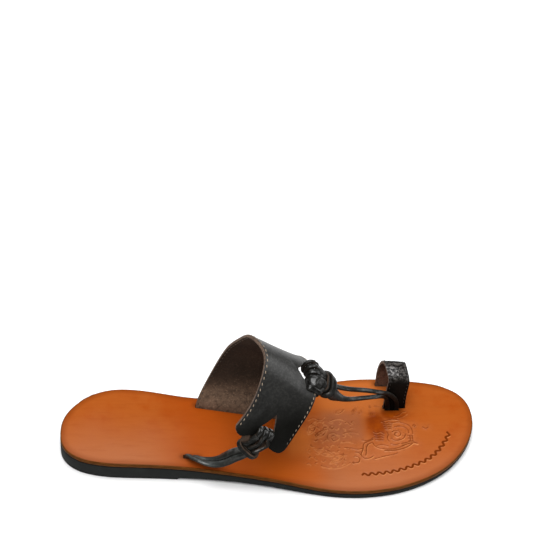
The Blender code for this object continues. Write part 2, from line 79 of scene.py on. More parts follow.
# Shape of the sole, as in the part's source
LENGTH = 272.0
LAYER_GAP = 0.3
HEEL_ROUND = 42.2
HEEL_POWER = 2.48
TOE_ROUND = 62.0
TOE_POWER = 2.06
HEEL_FRONT = 75.0
BALL_BACK = 178.0
BALL_FRONT = 202.0

# Rounding of sharp edges: widths in metres, and the least angle in degrees of an edge that is rounded
INSOLE_ROUND = 0.0008
OUTSOLE_ROUND = 0.0006
BEVEL_ANGLE = 50

OutlineRow = namedtuple("OutlineRow", "x centre half_width")
SOLE_OUTLINE = table(
    OutlineRow,
    (0, 0.0, 28.5), (25, 4.3, 31.3), (50, 4.3, 31.7), (80, 1.3, 30.0), (110, -0.4, 31.6),
    (140, -0.1, 36.5), (170, 2.6, 44.7), (200, 5.2, 47.8), (225, 7.6, 45.7), (250, 12.3, 45.4),
    (272, 19.7, 46.5),
)

ProfileRow = namedtuple("ProfileRow", "x underside top")
SOLE_PROFILE = table(
    ProfileRow,
    (0, 0.0, 13.0), (HEEL_FRONT, 0.0, 12.7), (HEEL_FRONT + 1.0, 1.2, 12.65), (92, 1.9, 11.8),
    (112, 2.3, 10.7), (128, 1.9, 9.8), (145, 1.0, 8.7), (162, 0.4, 7.5), (BALL_BACK, 0.0, 6.9),
    (BALL_FRONT, 0.0, 6.8), (225, 0.4, 7.1), (238, 1.3, 7.4), (252, 2.3, 7.8), (272, 3.2, 8.5),
)

# Straps: rear and front edges on the outer face
SectionRow = namedtuple("SectionRow", "rear front")
BAND_SECTIONS = table(
    SectionRow,
    ((87.5, 24.3, 9.4), (140.0, 17.5, 6.4)), ((87.5, 24.3, 12.9), (140.0, 17.5, 9.6)),
    ((91.5, 29.5, 23.5), (141.5, 25.0, 17.5)), ((96.0, 32.8, 33.5), (143.0, 30.5, 27.0)),
    ((100.2, 33.8, 44.7), (145.5, 33.0, 37.0)), ((104.5, 32.2, 57.5), (148.5, 32.3, 46.5)),
    ((108.3, 28.7, 67.7), (151.5, 28.0, 55.5)), ((112.6, 23.0, 78.3), (154.2, 21.0, 62.4)),
    ((117.8, 14.4, 89.6), (156.9, 12.0, 67.2)), ((123.5, 4.5, 92.3), (159.4, 2.0, 69.2)),
    ((126.3, -5.0, 90.6), (160.5, -8.5, 67.6)), ((125.2, -12.5, 86.5), (159.0, -15.5, 66.0)),
    ((121.9, -20.0, 77.0), (155.3, -22.5, 60.0)), ((117.0, -27.0, 68.2), (149.4, -28.3, 51.5)),
    ((110.4, -31.8, 59.0), (143.6, -33.0, 42.5)), ((104.6, -34.3, 51.0), (138.6, -35.0, 32.5)),
)
TOE_SECTIONS = table(
    SectionRow,
    ((209.8, 48.8, 4.2), (224.4, 48.6, 4.2)), ((209.8, 48.8, 7.4), (224.4, 48.6, 7.4)),
    ((209.4, 49.0, 17.0), (223.8, 48.7, 16.5)), ((209.5, 47.4, 26.5), (224.0, 47.0, 25.5)),
    ((210.1, 44.6, 34.0), (224.8, 44.2, 33.0)), ((210.9, 40.8, 38.0), (225.6, 40.4, 37.2)),
    ((211.8, 36.2, 37.9), (226.2, 36.0, 37.4)), ((212.6, 31.8, 36.6), (226.8, 31.8, 36.2)),
    ((213.2, 28.6, 35.4), (227.2, 28.6, 35.0)), ((213.3, 26.9, 33.4), (227.4, 26.9, 33.0)),
    ((213.1, 26.3, 28.5), (227.4, 26.4, 28.5)), ((212.8, 26.2, 16.0), (227.2, 26.4, 16.0)),
    ((212.8, 26.6, 7.4), (227.6, 26.9, 7.4)), ((212.8, 26.6, 4.2), (227.6, 26.9, 4.2)),
)

# Free outer end of the band: how far each line across stops short of the last section
EndRow = namedtuple("EndRow", "across short")
BAND_END = table(
    EndRow,
    (0.0, 8.5), (0.04, 5.8), (0.1, 3.8), (0.17, 2.7), (0.22, 3.4), (0.28, 5.4), (0.36, 6.2), (0.47, 6.2),
    (0.58, 5.8), (0.66, 3.4), (0.74, 1.4), (0.84, 0.4), (0.92, 0.4), (0.97, 1.6), (1.0, 5.2),
)

# Pulls of the hitches on the band: depth, place and spread back from the last section, and both across
PullRow = namedtuple("PullRow", "depth back length across width")
BAND_PULLS = table(
    PullRow,
    (0.35, 60.5, 2.6, 0.60, 0.05), (0.35, 50.0, 4.0, 0.68, 0.06), (0.5, 21.0, 6.0, 0.25, 0.06),
)

# Holes in the band: corners, as millimetres back from the last section and share across from the rear
HoleRow = namedtuple("HoleRow", "back across")
SIDE_HOLE = table(
    HoleRow,
    (25.0, 0.5), (14.2, 0.37), (11.0, 0.36), (11.0, 0.65), (14.2, 0.63),
)
FRONT_HOLE = table(
    HoleRow,
    (71.5, 0.86), (66.0, 0.79), (62.0, 0.70), (59.8, 0.645), (57.8, 0.645), (53.5, 0.735), (48.5, 0.79),
    (47.0, 0.88), (59.0, 0.90), (71.5, 0.90),
)

# Hitches: how far the band's edge lies inside its sheet, where the middle of the strands is beside it,
# how far they reach past the edge, and how far they splay there. The wall is that of the band between
# the strands.
HitchRow = namedtuple("HitchRow", "edge middle reach splay")
SIDE_HITCH = HitchRow(edge=6.0, middle=0.475, reach=3.6, splay=1.35)
FRONT_HITCH = HitchRow(edge=0.0, middle=57.6, reach=1.0, splay=1.0)
HITCHED_WALL = 2.2

# Strands: place beside the hitch's middle, place in the collar, distance from edge to hole, width and rise
StrandRow = namedtuple("StrandRow", "sideways inside hole_side width rise")
SIDE_STRANDS = table(
    StrandRow,
    (-2.6, -3.8, 5.0, 4.2, 1.5), (1.2, -0.2, 5.2, 4.3, 1.8), (4.9, 3.6, 5.0, 4.3, 1.6),
)
FRONT_STRANDS = table(
    StrandRow,
    (11.6, 4.8, 4.4, 3.9, 2.6), (7.7, 3.6, 3.7, 3.9, 2.8), (4.0, 2.4, 3.5, 3.9, 2.2),
    (-3.2, -1.6, 5.2, 8.0, 2.4), (-8.6, -4.6, 5.8, 3.8, 1.0),
)

# Routes of the thongs: middle of the thong, and the way that its upper flat side faces
RouteRow = namedtuple("RouteRow", "point facing")
TAILS_ROUTE = table(
    RouteRow,
    ((83.4, -19.6, 9.9), (0.0, 1.0, 0.0)), ((83.4, -19.8, 12.8), (0.0, 1.0, 0.1)),
    ((85.5, -22.4, 15.1), (-0.1, 0.75, 0.6)), ((93.5, -26.6, 16.4), (-0.15, 0.35, 0.95)),
    ((102.5, -30.2, 22.0), (-0.2, -0.35, 0.88)), ((110.0, -33.0, 30.8), (-0.2, -0.7, 0.65)),
    ((117.2, -35.0, 38.2), (-0.1, -0.93, 0.35)), ((120.6, -34.4, 43.4), (0.0, -0.95, 0.3)),
)
UPPER_CORD_ROUTE = table(
    RouteRow,
    ((162.9, -3.4, 66.0), (0.5, 0.0, 0.85)), ((167.3, -1.2, 61.8), (0.5, 0.0, 0.85)),
    ((174.2, 2.0, 55.8), (0.4, -0.2, 0.9)), ((184.4, 7.2, 47.6), (0.4, -0.2, 0.9)),
    ((195.2, 12.0, 41.2), (0.4, -0.2, 0.9)), ((206.2, 17.2, 33.6), (0.3, -0.7, 0.6)),
    ((214.8, 22.2, 25.4), (0.3, -0.9, 0.3)), ((220.4, 24.8, 16.0), (0.0, -1.0, 0.1)),
    ((221.6, 25.7, 7.6), (0.0, -1.0, 0.0)), ((221.6, 25.8, 4.2), (0.0, -1.0, 0.0)),
)
LOWER_CORD_ROUTE = table(
    RouteRow,
    ((162.9, -6.4, 66.6), (0.5, -0.2, 0.85)), ((166.8, -4.2, 61.2), (0.6, -0.3, 0.75)),
    ((172.0, -0.8, 52.8), (0.6, -0.4, 0.7)), ((181.3, 3.6, 42.2), (0.5, -0.5, 0.75)),
    ((192.0, 8.6, 37.2), (0.3, -0.3, 0.9)), ((202.7, 13.6, 33.2), (0.3, -0.7, 0.6)),
    ((209.6, 19.2, 27.4), (0.3, -0.8, 0.4)), ((214.0, 24.0, 17.0), (0.1, -1.0, 0.2)),
    ((215.6, 25.7, 7.6), (0.0, -1.0, 0.0)), ((215.6, 25.8, 4.2), (0.0, -1.0, 0.0)),
)

# Collars that hold the tails: middle, way along the tails, way that the flat side faces, and the opening.
# Within the reach of a collar the strands close up.
CollarRow = namedtuple("CollarRow", "middle along facing width wall")
SIDE_COLLAR = CollarRow((117.6, -35.0, 39.6), (-0.62, 0.12, -0.77), (-0.1, -0.93, 0.35), 10.9, 4.2)
FRONT_COLLAR = CollarRow((165.2, -2.6, 63.8), (0.72, 0.05, -0.68), (0.6, -0.25, 0.75), 12.4, 5.2)
COLLAR_REACH = 5.5

# Turns of each collar: how far out from the opening and ahead, width, thickness, how far askew and leaning
TurnRow = namedtuple("TurnRow", "outward ahead length wall askew lean")
SIDE_TURNS = table(
    TurnRow,
    (0.1, 0.3, 3.6, 1.9, 0.2, 0.5), (1.7, 0.6, 3.0, 1.8, -0.3, 0.5),
)
FRONT_TURNS = table(
    TurnRow,
    (0.1, 0.0, 4.8, 1.9, 0.4, 2.4), (1.7, 1.4, 4.6, 1.8, -0.6, 3.0),
)

# Slots in the insole for the thongs: middle and full sizes across the floor
SlotRow = namedtuple("SlotRow", "x y length width")
TAILS_SLOT = SlotRow(83.3, -19.7, 9.8, 3.0)
CORDS_SLOT = SlotRow(218.6, 25.8, 9.8, 2.2)

# Slots for the straps: how far they run along the strap, and the gap round it
SLOT_DEPTH = 9.0
SLOT_GAP = 0.35

# Stitches: share of the pitch that one covers, how far it leans, and how far it stands off the leather
STITCH_SHARE = 0.56
STITCH_LEAN = 0.20
STITCH_RISE = 0.02

# Grid over the sole: where its corners sit round the outline, and points round each end
HEEL_CORNER = 13.0
TOE_CORNER = 252.0
ARC_STEPS = 80

# Columns and rows of each grid, and points along each kind of thong and round it
INSOLE_GRID = (172, 82)
OUTSOLE_GRID = (240, 60)
BAND_GRID = (190, 52)
LOOP_GRID = (110, 18)
STRAND_STEPS = 90
COLLAR_STEPS = 72
TAIL_STEPS = 90
CORD_STEPS = 110
THONG_CORNERS = 18

# Tooled ornament on the forefoot: a flower with its stem, sprays of leaves and a zigzag line
TOOLED_LOW = (153.0, -33.0)
TOOLED_HIGH = (257.0, 33.0)
FLOWER = (219.6, 4.6)
# the side of each tooled line where its lip stands, which faces the light
LIP_SIDE = (-0.1, 0.95, 0.0)
ZIGZAG_LINE = [
    (193.4, -29.4), (200.0, -28.7), (210.0, -27.5), (220.0, -24.9), (229.5, -21.2), (239.5, -15.4),
    (245.2, -9.8), (248.6, -5.4), (250.8, -2.0), (252.8, 1.4), (254.2, 5.2),
]
ZIGZAG_PITCH = 4.9
ZIGZAG_SWING = 0.95
STROKE_STEP = 0.3

# Widths of the tooled lines, of the worn ones and of the lips pressed up beside them, the lips' height and
# the stamp's depth as shares of the tooling's depth, and how far off a line still counts
LINE_WIDTH = 0.40
WORN_WIDTH = 0.42
LIP_WIDTH = 0.42
STAMP_WIDTH = 0.75
STAMP_LIP_WIDTH = 0.45
LIP_HEIGHT = 0.6
STAMP_DEPTH = 1.3
TOOL_REACH = 8.0
STAMP_REACH = 4.0
RIM_REACH = 12.0

# Dark spots behind the toe loop, and the hollow pressed into the ball underfoot
SpotRow = namedtuple("SpotRow", "x y length width")
DARK_SPOTS = table(SpotRow, (207.0, 12.0, 8.0, 14.0), (219.0, 21.5, 11.0, 6.0))
HOLLOW = SpotRow(205.0, 2.0, 30.0, 26.0)
HOLLOW_DEPTH = 0.25

# Dye of the insole: where the waist's rises and falls, in metres. Then patches of painted light, which lift
# the shade beside the band and the cords: their tint and share, and where each rises and falls along and
# across the sole
WAIST = (-0.085, -0.045, 0.0, 0.045)
PatchRow = namedtuple("PatchRow", "tint share along across")
PAINTED_LIGHT_PATCHES = table(
    PatchRow,
    ((0.430, 0.082, 0.003), 0.45, (-0.020, 0.010, 0.024, 0.042), (-0.046, -0.036, -0.030, -0.006)),
    ((0.560, 0.145, 0.022), 0.6, (0.006, 0.014, 0.022, 0.032), (-0.026, -0.012, -0.004, 0.010)),
    ((0.420, 0.115, 0.024), 0.8, (0.022, 0.045, 0.074, 0.094), (0.008, 0.026, 0.060, 0.070)),
)
# a greyish haze over the ball, a painted sheen
SHEEN_HAZE = PatchRow((0.190, 0.080, 0.045), 0.28, (0.028, 0.042, 0.058, 0.066), (-0.014, 0.0, 0.014, 0.024))

# Tints of the insole at its dark spots, where it is worked or pressed, of the painted highlight on the
# lips, of the painted shadow beside the slots, of the painted highlight on the thongs and of the toe loop's
# lining
DARK_SPOT_TINT = (0.175, 0.024, 0.0005)
DARK_SPOT_EDGE_TINT = (0.300, 0.055, 0.0006)
WORKED_TINT = (0.400, 0.122, 0.040)
SPECKLE_TINT = (0.150, 0.036, 0.008)
LIP_HIGHLIGHT_TINT = (0.660, 0.250, 0.070)
TOOLED_TINT = (0.110, 0.018, 0.001)
STAMPED_TINT = (0.125, 0.021, 0.001)
SLOT_SHADE_TINT = (0.050, 0.014, 0.003)
THONG_HIGHLIGHT_TINT = (0.050, 0.057, 0.055)
LOOP_LINING_TINT = (0.110, 0.062, 0.042)

# Lights, in the order of their powers in the stage's settings, and how far the floor lies below the sole
LightRow = namedtuple("LightRow", "name place width height")
LIGHTS = table(
    LightRow,
    ("key_light", (-0.12, 0.14, 1.3), 0.9, 0.9), ("fill_light", (-0.15, -0.60, 1.1), 0.9, 0.7),
    ("side_light", (1.10, 0.05, 0.62), 1.2, 0.6), ("backdrop_light", (0.05, 1.15, 0.95), 1.9, 0.8),
)
FLOOR_GAP = 0.0002

# Camera, at the photograph's angle to the sandal
CAMERA_PLACE = (-0.09124, -0.63197, 0.75716)
CAMERA_TURN = (46.516, -4.104, -3.204)
SENSOR_WIDTH = 36.0
LENS = 100.75


class SandalSizes(bpy.types.PropertyGroup):
    """Sizes that a maker would change."""
    insole_wall: bpy.props.FloatProperty(
        name="Insole thickness", description="Thickness of the leather insole",
        default=0.003, unit="LENGTH")
    band_wall: bpy.props.FloatProperty(
        name="Band thickness", description="Thickness of the instep band", default=0.0022, unit="LENGTH")
    toe_wall: bpy.props.FloatProperty(
        name="Toe loop thickness", description="Thickness of the toe loop", default=0.0022, unit="LENGTH")
    thong_wall: bpy.props.FloatProperty(
        name="Thong thickness", description="Thickness of the hitched thongs",
        default=0.0025, unit="LENGTH")
    tail_width: bpy.props.FloatProperty(
        name="Tail width", description="Width of each tail of the side strap",
        default=0.0047, unit="LENGTH")
    cord_width: bpy.props.FloatProperty(
        name="Cord width", description="Width of each tail of the front strap",
        default=0.0029, unit="LENGTH")
    edge_round: bpy.props.FloatProperty(
        name="Edge rounding", description="Rounding of the straps' cut edges",
        default=0.0004, unit="LENGTH")
    stitch_pitch: bpy.props.FloatProperty(
        name="Stitch pitch", description="Distance from stitch to stitch", default=0.0034, unit="LENGTH")
    stitch_inset: bpy.props.FloatProperty(
        name="Stitch inset", description="Distance of the stitches from the edge",
        default=0.0014, unit="LENGTH")
    thread_width: bpy.props.FloatProperty(
        name="Thread width", description="Width of the sewing thread", default=0.00055, unit="LENGTH")
    tooling_depth: bpy.props.FloatProperty(
        name="Tooling depth", description="Depth of the tooled lines in the insole",
        default=0.0006, unit="LENGTH")


class SandalColours(bpy.types.PropertyGroup):
    """Colours that a maker would change."""
    tan: bpy.props.FloatVectorProperty(
        name="Tan", description="Insole leather", default=(0.320, 0.072, 0.009), subtype="COLOR")
    orange: bpy.props.FloatVectorProperty(
        name="Orange", description="Insole leather at the waist and the inner side",
        default=(0.290, 0.050, 0.003), subtype="COLOR")
    # paler tone of the outer side: partly thinner dye and partly painted sheen
    pale: bpy.props.FloatVectorProperty(
        name="Pale", description="Insole leather where the dye is thin",
        default=(0.330, 0.105, 0.038), subtype="COLOR")
    burnish: bpy.props.FloatVectorProperty(
        name="Burnish", description="Edge of the insole", default=(0.074, 0.024, 0.003), subtype="COLOR")
    rubber: bpy.props.FloatVectorProperty(
        name="Rubber", description="Outsole", default=(0.0088, 0.0100, 0.0092), subtype="COLOR")
    strap: bpy.props.FloatVectorProperty(
        name="Strap", description="Grain side of the band and the thongs",
        default=(0.0045, 0.0044, 0.0037), subtype="COLOR")
    suede: bpy.props.FloatVectorProperty(
        name="Suede", description="Flesh side of the band", default=(0.105, 0.066, 0.043), subtype="COLOR")
    cut_edge: bpy.props.FloatVectorProperty(
        name="Cut edge", description="Raw cut edges of the straps",
        default=(0.110, 0.072, 0.052), subtype="COLOR")
    thread: bpy.props.FloatVectorProperty(
        name="Thread", description="Sewing thread", default=(0.36, 0.27, 0.19), subtype="COLOR")
    loop: bpy.props.FloatVectorProperty(
        name="Toe loop", description="Grain side of the toe loop",
        default=(0.0028, 0.0022, 0.0018), subtype="COLOR")


class StageSettings(bpy.types.PropertyGroup):
    """Light and floor of the stage."""
    floor: bpy.props.FloatVectorProperty(
        name="Floor", description="Colour of the floor", default=(0.92, 0.92, 0.92), subtype="COLOR")
    key_power: bpy.props.FloatProperty(
        name="Key light", description="Power of the large light overhead", default=14.7, unit="POWER")
    fill_power: bpy.props.FloatProperty(
        name="Fill light", description="Power of the light above the camera", default=9.4, unit="POWER")
    side_power: bpy.props.FloatProperty(
        name="Side light", description="Power of the light on the toe side", default=5.5, unit="POWER")
    backdrop_power: bpy.props.FloatProperty(
        name="Backdrop light", description="Power of the wide light behind the sandal",
        default=5.0, unit="POWER")
    sky: bpy.props.FloatProperty(
        name="Sky", description="Strength of the even light from all round", default=0.20)


def natural_spline(xs, ys, x):
    """Cubic curve through the points (xs, ys), unbent at both ends, read at x; ys may hold points."""
    xs = np.asarray(xs, float)
    ys = np.asarray(ys, float)
    x = np.atleast_1d(np.asarray(x, float))
    count = len(xs)
    step = np.diff(xs)
    slope = (np.diff(ys, axis=0).T / step).T
    matrix = np.eye(count)
    right = np.zeros_like(ys)
    for i in range(1, count - 1):
        matrix[i, i - 1] = step[i - 1]
        matrix[i, i] = 2 * (step[i - 1] + step[i])
        matrix[i, i + 1] = step[i]
        right[i] = 6 * (slope[i] - slope[i - 1])
    bend = np.linalg.solve(matrix, right)
    k = np.clip(np.searchsorted(xs, x) - 1, 0, count - 2)
    h = step[k]
    a = (xs[k + 1] - x) / h
    b = (x - xs[k]) / h
    if ys.ndim > 1:
        a, b, h = a[:, None], b[:, None], h[:, None]
    return a * ys[k] + b * ys[k + 1] + ((a**3 - a) * bend[k] + (b**3 - b) * bend[k + 1]) * h * h / 6


def reach_along(points):
    """Length along a line of points, up to each of them."""
    return np.concatenate([[0.0], np.cumsum(np.linalg.norm(np.diff(points, axis=0), axis=1))])


def read_line(points, reach, places):
    """Points of a line, read at lengths along it."""
    return np.column_stack([np.interp(places, reach, points[:, k]) for k in range(points.shape[1])])


def smooth_loop(points, count):
    """Points along a closed smooth curve through the given ones."""
    points = np.asarray(points, float)
    size = len(points)
    place = np.linspace(0, size, count, endpoint=False)
    first = place.astype(int)
    t = (place - first)[:, None]
    a, b, c, d = (points[(first + k) % size] for k in (-1, 0, 1, 2))
    return 0.5 * (2 * b + (c - a) * t + (2 * a - 5 * b + 4 * c - d) * t**2 + (3 * b - 3 * c + d - a) * t**3)


def smooth_line(points, count):
    """Points evenly along a smooth open curve through the given ones."""
    points = np.asarray(points, float)
    reach = reach_along(points)
    return natural_spline(reach, points, np.linspace(0, reach[-1], count))


def units(vectors):
    """The vectors at length one."""
    vectors = np.asarray(vectors, float)
    return vectors / np.linalg.norm(vectors, axis=-1, keepdims=True)


def bump(x, middle, spread):
    """A soft hill of height one round the middle."""
    return np.exp(-(((x - middle) / spread) ** 2))


def squared(values, power):
    """Values from -1 to 1, pushed outwards to turn a circle into a rounded box."""
    return np.sign(values) * np.abs(values) ** power


def field(rows, name):
    """One named column of a table."""
    return [getattr(row, name) for row in rows]


def sole_edge(x):
    """Centre and half width of the sole outline at x, narrowing round both ends."""
    x = np.atleast_1d(np.asarray(x, float))
    stations = field(SOLE_OUTLINE, "x")
    centre = natural_spline(stations, field(SOLE_OUTLINE, "centre"), x)
    half = natural_spline(stations, field(SOLE_OUTLINE, "half_width"), x)
    heel = np.clip(1 - x / HEEL_ROUND, 0, 1)
    toe = np.clip(1 - (LENGTH - x) / TOE_ROUND, 0, 1)
    half = half * (1 - heel**HEEL_POWER) ** (1 / HEEL_POWER)
    half = half * (1 - toe**TOE_POWER) ** (1 / TOE_POWER)
    return centre, half


def sole_sides(x):
    """The outer and the inner side of the sole's outline at x, as points in plan."""
    centre, half = sole_edge(x)
    return np.column_stack([x, centre - half]), np.column_stack([x, centre + half])


def sole_top(x):
    """Height of the insole's top at x."""
    return natural_spline(field(SOLE_PROFILE, "x"), field(SOLE_PROFILE, "top"), x)


def sole_underside(x):
    """Height of the outsole's underside at x."""
    return np.interp(x, field(SOLE_PROFILE, "x"), field(SOLE_PROFILE, "underside"))


def middle_y():
    """Middle of the sole's width, where the part's frame has its origin."""
    centre, half = sole_edge(np.linspace(0, LENGTH, 2001))
    return ((centre - half).min() + (centre + half).max()) / 2


MIDDLE_Y = middle_y()


def in_frame(points):
    """Points in metres in the part's frame, whose origin is below the middle of the sole."""
    return (np.asarray(points, float) - (LENGTH / 2, MIDDLE_Y, 0.0)) * MM


def in_tables(points):
    """Points in the tables' millimetres, from metres in the part's frame."""
    return points / MM + (LENGTH / 2, MIDDLE_Y, 0.0)


def outline_arc(corner, tip):
    """The outline round one end, from the outer corner over the tip to the inner corner."""
    turn = np.linspace(0, math.pi / 2, ARC_STEPS)
    outer, inner = sole_sides(tip + (corner - tip) * np.cos(turn))
    return np.vstack([outer, inner[::-1][1:]])


def along_points(points, share):
    """Points at shares of the length of a line of points."""
    reach = reach_along(points)
    return read_line(points, reach / reach[-1], share)


def sole_plan(u, v):
    """Point in plan for u from heel to toe and v from outer to inner side, blending the four sides."""
    x = np.interp(u, (0, 1), (HEEL_CORNER, TOE_CORNER))
    outer, inner = sole_sides(x)
    heel = along_points(outline_arc(HEEL_CORNER, 0.0), v)
    toe = along_points(outline_arc(TOE_CORNER, LENGTH), v)
    lengthwise = ((x - HEEL_CORNER) / (TOE_CORNER - HEEL_CORNER))[:, None]
    sideways = np.asarray(v)[:, None]

    def line_across(corner):
        low, high = sole_sides([corner])
        return (1 - sideways) * low + sideways * high

    sides = (1 - sideways) * outer + sideways * inner
    ends = (1 - lengthwise) * heel + lengthwise * toe
    return sides + ends - (1 - lengthwise) * line_across(HEEL_CORNER) - lengthwise * line_across(TOE_CORNER)


class Sheet:
    """A strap's outer face: straight lines from its rear edge to its front edge."""

    def __init__(self, sections):
        self.rear = np.array(field(sections, "rear"), float)
        self.front = np.array(field(sections, "front"), float)
        self.stations = reach_along((self.rear + self.front) / 2)
        self.length = self.stations[-1]

    def point(self, along, across):
        """Points on the outer face, along in millimetres and across from 0 at the rear to 1 in front."""
        rear = natural_spline(self.stations, self.rear, along)
        front = natural_spline(self.stations, self.front, along)
        return rear + (front - rear) * np.atleast_1d(across)[:, None]

    def over(self, along):
        """Ways from the rear edge to the front edge, as long as the strap is wide there."""
        return self.point(along, 1.0) - self.point(along, 0.0)

    def width(self, along):
        """Distance from the rear edge to the front edge."""
        return np.linalg.norm(self.over(along), axis=1)

    def ahead(self, along, across):
        """Ways along the strap."""
        along = np.atleast_1d(np.asarray(along, float))
        return self.point(along + 0.5, across) - self.point(along - 0.5, across)

    def normal(self, along, across):
        """Unit normals of the outer face."""
        return units(np.cross(self.ahead(along, across), self.over(along)))

    def offset(self, along, across, height):
        """Points at a height above the outer face, or below it where the height is negative."""
        return self.point(along, across) + self.normal(along, across) * np.atleast_1d(height)[:, None]


def deselect():
    """Leave nothing selected."""
    bpy.ops.object.select_all(action="DESELECT")


def choose(piece):
    """Select one piece alone and make it the active one."""
    deselect()
    piece.select_set(True)
    bpy.context.view_layer.objects.active = piece


def edit(piece, action="SELECT"):
    """Open a piece for editing, with all of it selected or nothing."""
    choose(piece)
    bpy.ops.object.mode_set(mode="EDIT")
    bpy.ops.mesh.select_all(action=action)


def leave_edit():
    """Close the piece that is open for editing."""
    bpy.ops.object.mode_set(mode="OBJECT")


def read(items, name):
    """Points or directions of a mesh's corners or faces."""
    flat = np.zeros(len(items) * 3)
    items.foreach_get(name, flat)
    return flat.reshape(-1, 3)


def move_corners(piece, points):
    """Put a piece's corners at points given in the tables' millimetres."""
    piece.data.vertices.foreach_set("co", in_frame(points).ravel())
    piece.data.update()


def new_grid(name, size, place, lay, *materials):
    """A grid primitive with each corner moved to place(u, v); lay(u, v) gives its UV map in metres."""
    columns, rows = size
    deselect()
    bpy.ops.mesh.primitive_grid_add(x_subdivisions=columns, y_subdivisions=rows, size=2.0)
    piece = bpy.context.object
    piece.name = name
    mesh = piece.data
    mesh.name = name
    flat = read(mesh.vertices, "co")
    u = np.round((flat[:, 0] + 1) / 2 * columns) / columns
    v = np.round((flat[:, 1] + 1) / 2 * rows) / rows
    corners = np.zeros(len(mesh.loops), int)
    mesh.loops.foreach_get("vertex_index", corners)
    mesh.uv_layers[0].data.foreach_set("uv", lay(u, v)[corners].ravel())
    move_corners(piece, place(u, v))
    for material in materials:
        mesh.materials.append(material)
    return piece


def close_seams(piece, fill):
    """Merge the corners that meet along a seam, and fill open ends if asked."""
    edit(piece)
    bpy.ops.mesh.remove_doubles(threshold=1e-6)
    if fill:
        bpy.ops.mesh.fill_holes(sides=0)
    bpy.ops.mesh.normals_make_consistent(inside=False)
    leave_edit()


def apply_modifier(piece, kind, **settings):
    """Add a modifier, set it and apply it."""
    choose(piece)
    modifier = piece.modifiers.new(kind.lower(), kind)
    for name, value in settings.items():
        setattr(modifier, name, value)
    bpy.ops.object.modifier_apply(modifier=modifier.name)


def round_edges(piece, width, segments):
    """Round the sharp edges of a piece."""
    apply_modifier(
        piece, "BEVEL", width=width, segments=segments, limit_method="ANGLE",
        angle_limit=math.radians(BEVEL_ANGLE), use_clamp_overlap=False)


def take_away(piece, cutter):
    """Cut the cutter's shape out of the piece and remove the cutter."""
    apply_modifier(piece, "BOOLEAN", operation="DIFFERENCE", solver="EXACT", object=cutter)
    bpy.data.objects.remove(cutter, do_unlink=True)


def shade(piece, degrees):
    """Smooth shading, with the sharper edges kept."""
    choose(piece)
    bpy.ops.object.shade_smooth_by_angle(angle=math.radians(degrees))


def join(name, pieces):
    """One object made of several."""
    deselect()
    for piece in pieces:
        piece.select_set(True)
    bpy.context.view_layer.objects.active = pieces[0]
    bpy.ops.object.join()
    pieces[0].name = name
    pieces[0].data.name = name
    return pieces[0]


def cell_centres(piece):
    """Centres and normals of a piece's faces."""
    return read(piece.data.polygons, "center"), read(piece.data.polygons, "normal")


def corner_points(piece):
    """Places of a piece's corners, in the tables' millimetres."""
    return in_tables(read(piece.data.vertices, "co"))


def attribute(piece, name, values):
    """Store one number for each corner of the piece's mesh."""
    layer = piece.data.attributes.new(name, "FLOAT", "POINT")
    layer.data.foreach_set("value", np.asarray(values, np.float32))


def store_upward(piece):
    """Store how far each corner of a piece faces up."""
    attribute(piece, "upward", read(piece.data.vertices, "normal")[:, 2])


def strap_solid(name, sheet, ends, size, wall, relief, materials, edge_round):
    """A strap: a grid laid on its sheet, given its thickness and rounded edges.

    ends(across) gives where each line across stops, and relief(along, across) the height of its creases.
    """
    def place(u, v):
        along = ends(v) * u
        return sheet.offset(along, v, relief(along, v))

    def lay(u, v):
        along = ends(v) * u
        return np.column_stack([along, v * sheet.width(along)]) * MM

    piece = new_grid(name, size, place, lay, *materials)
    centres, normals = cell_centres(piece)
    half = np.array([0.5])
    expected = sheet.normal(ends(half) * half, 0.5)[0]
    if normals[len(centres) // 2 + size[0] // 2].dot(expected) < 0:
        edit(piece)
        bpy.ops.mesh.flip_normals()
        leave_edit()
    apply_modifier(
        piece, "SOLIDIFY", thickness=wall, offset=-1.0, use_even_offset=False, use_quality_normals=True,
        material_offset=1, material_offset_rim=2)
    round_edges(piece, edge_round, 2)
    return piece


def hole_cutter(name, sheet, hole, material):
    """A prism through a strap, square to it at each corner of the hole."""
    corners = np.array([*hole, hole[0]])
    reach = 8.0

    def place(u, v):
        row = corners[np.round(u * len(hole)).astype(int)]
        return sheet.offset(sheet.length - row[:, 0], row[:, 1], (v - 0.5) * reach)

    def lay(u, v):
        return np.column_stack([u, v]) * reach * MM

    cutter = new_grid(name, (len(hole), 1), place, lay, material)
    close_seams(cutter, True)
    return cutter


def block_cutter(name, low, high, material):
    """A block between two corners, for a slot."""
    deselect()
    low = Vector(in_frame(low))
    high = Vector(in_frame(high))
    bpy.ops.mesh.primitive_cube_add(size=1.0, location=(low + high) / 2)
    cutter = bpy.context.object
    cutter.name = name
    cutter.scale = high - low
    bpy.ops.object.transform_apply(location=True, rotation=True, scale=True)
    cutter.data.materials.append(material)
    return cutter


def sheet_cutter(name, sheet, from_start, wall, material):
    """A cutter for a strap's slot, a little larger than the strap."""
    past = 4.0
    margin = SLOT_GAP / sheet.width(0.0 if from_start else sheet.length)[0]
    first = -past if from_start else sheet.length - SLOT_DEPTH
    last = SLOT_DEPTH if from_start else sheet.length + past
    shares = (-margin, 0.5, 1 + margin)
    ring = [(share, SLOT_GAP) for share in shares]
    ring += [(share, -wall - SLOT_GAP) for share in reversed(shares)]
    ring = np.array([*ring, ring[0]])

    def place(u, v):
        row = ring[np.round(v * (len(ring) - 1)).astype(int)]
        return sheet.offset(first + (last - first) * u, row[:, 0], row[:, 1])

    def lay(u, v):
        return np.column_stack([u, v]) * past * MM

    cutter = new_grid(name, (8, len(ring) - 1), place, lay, material)
    close_seams(cutter, True)
    return cutter


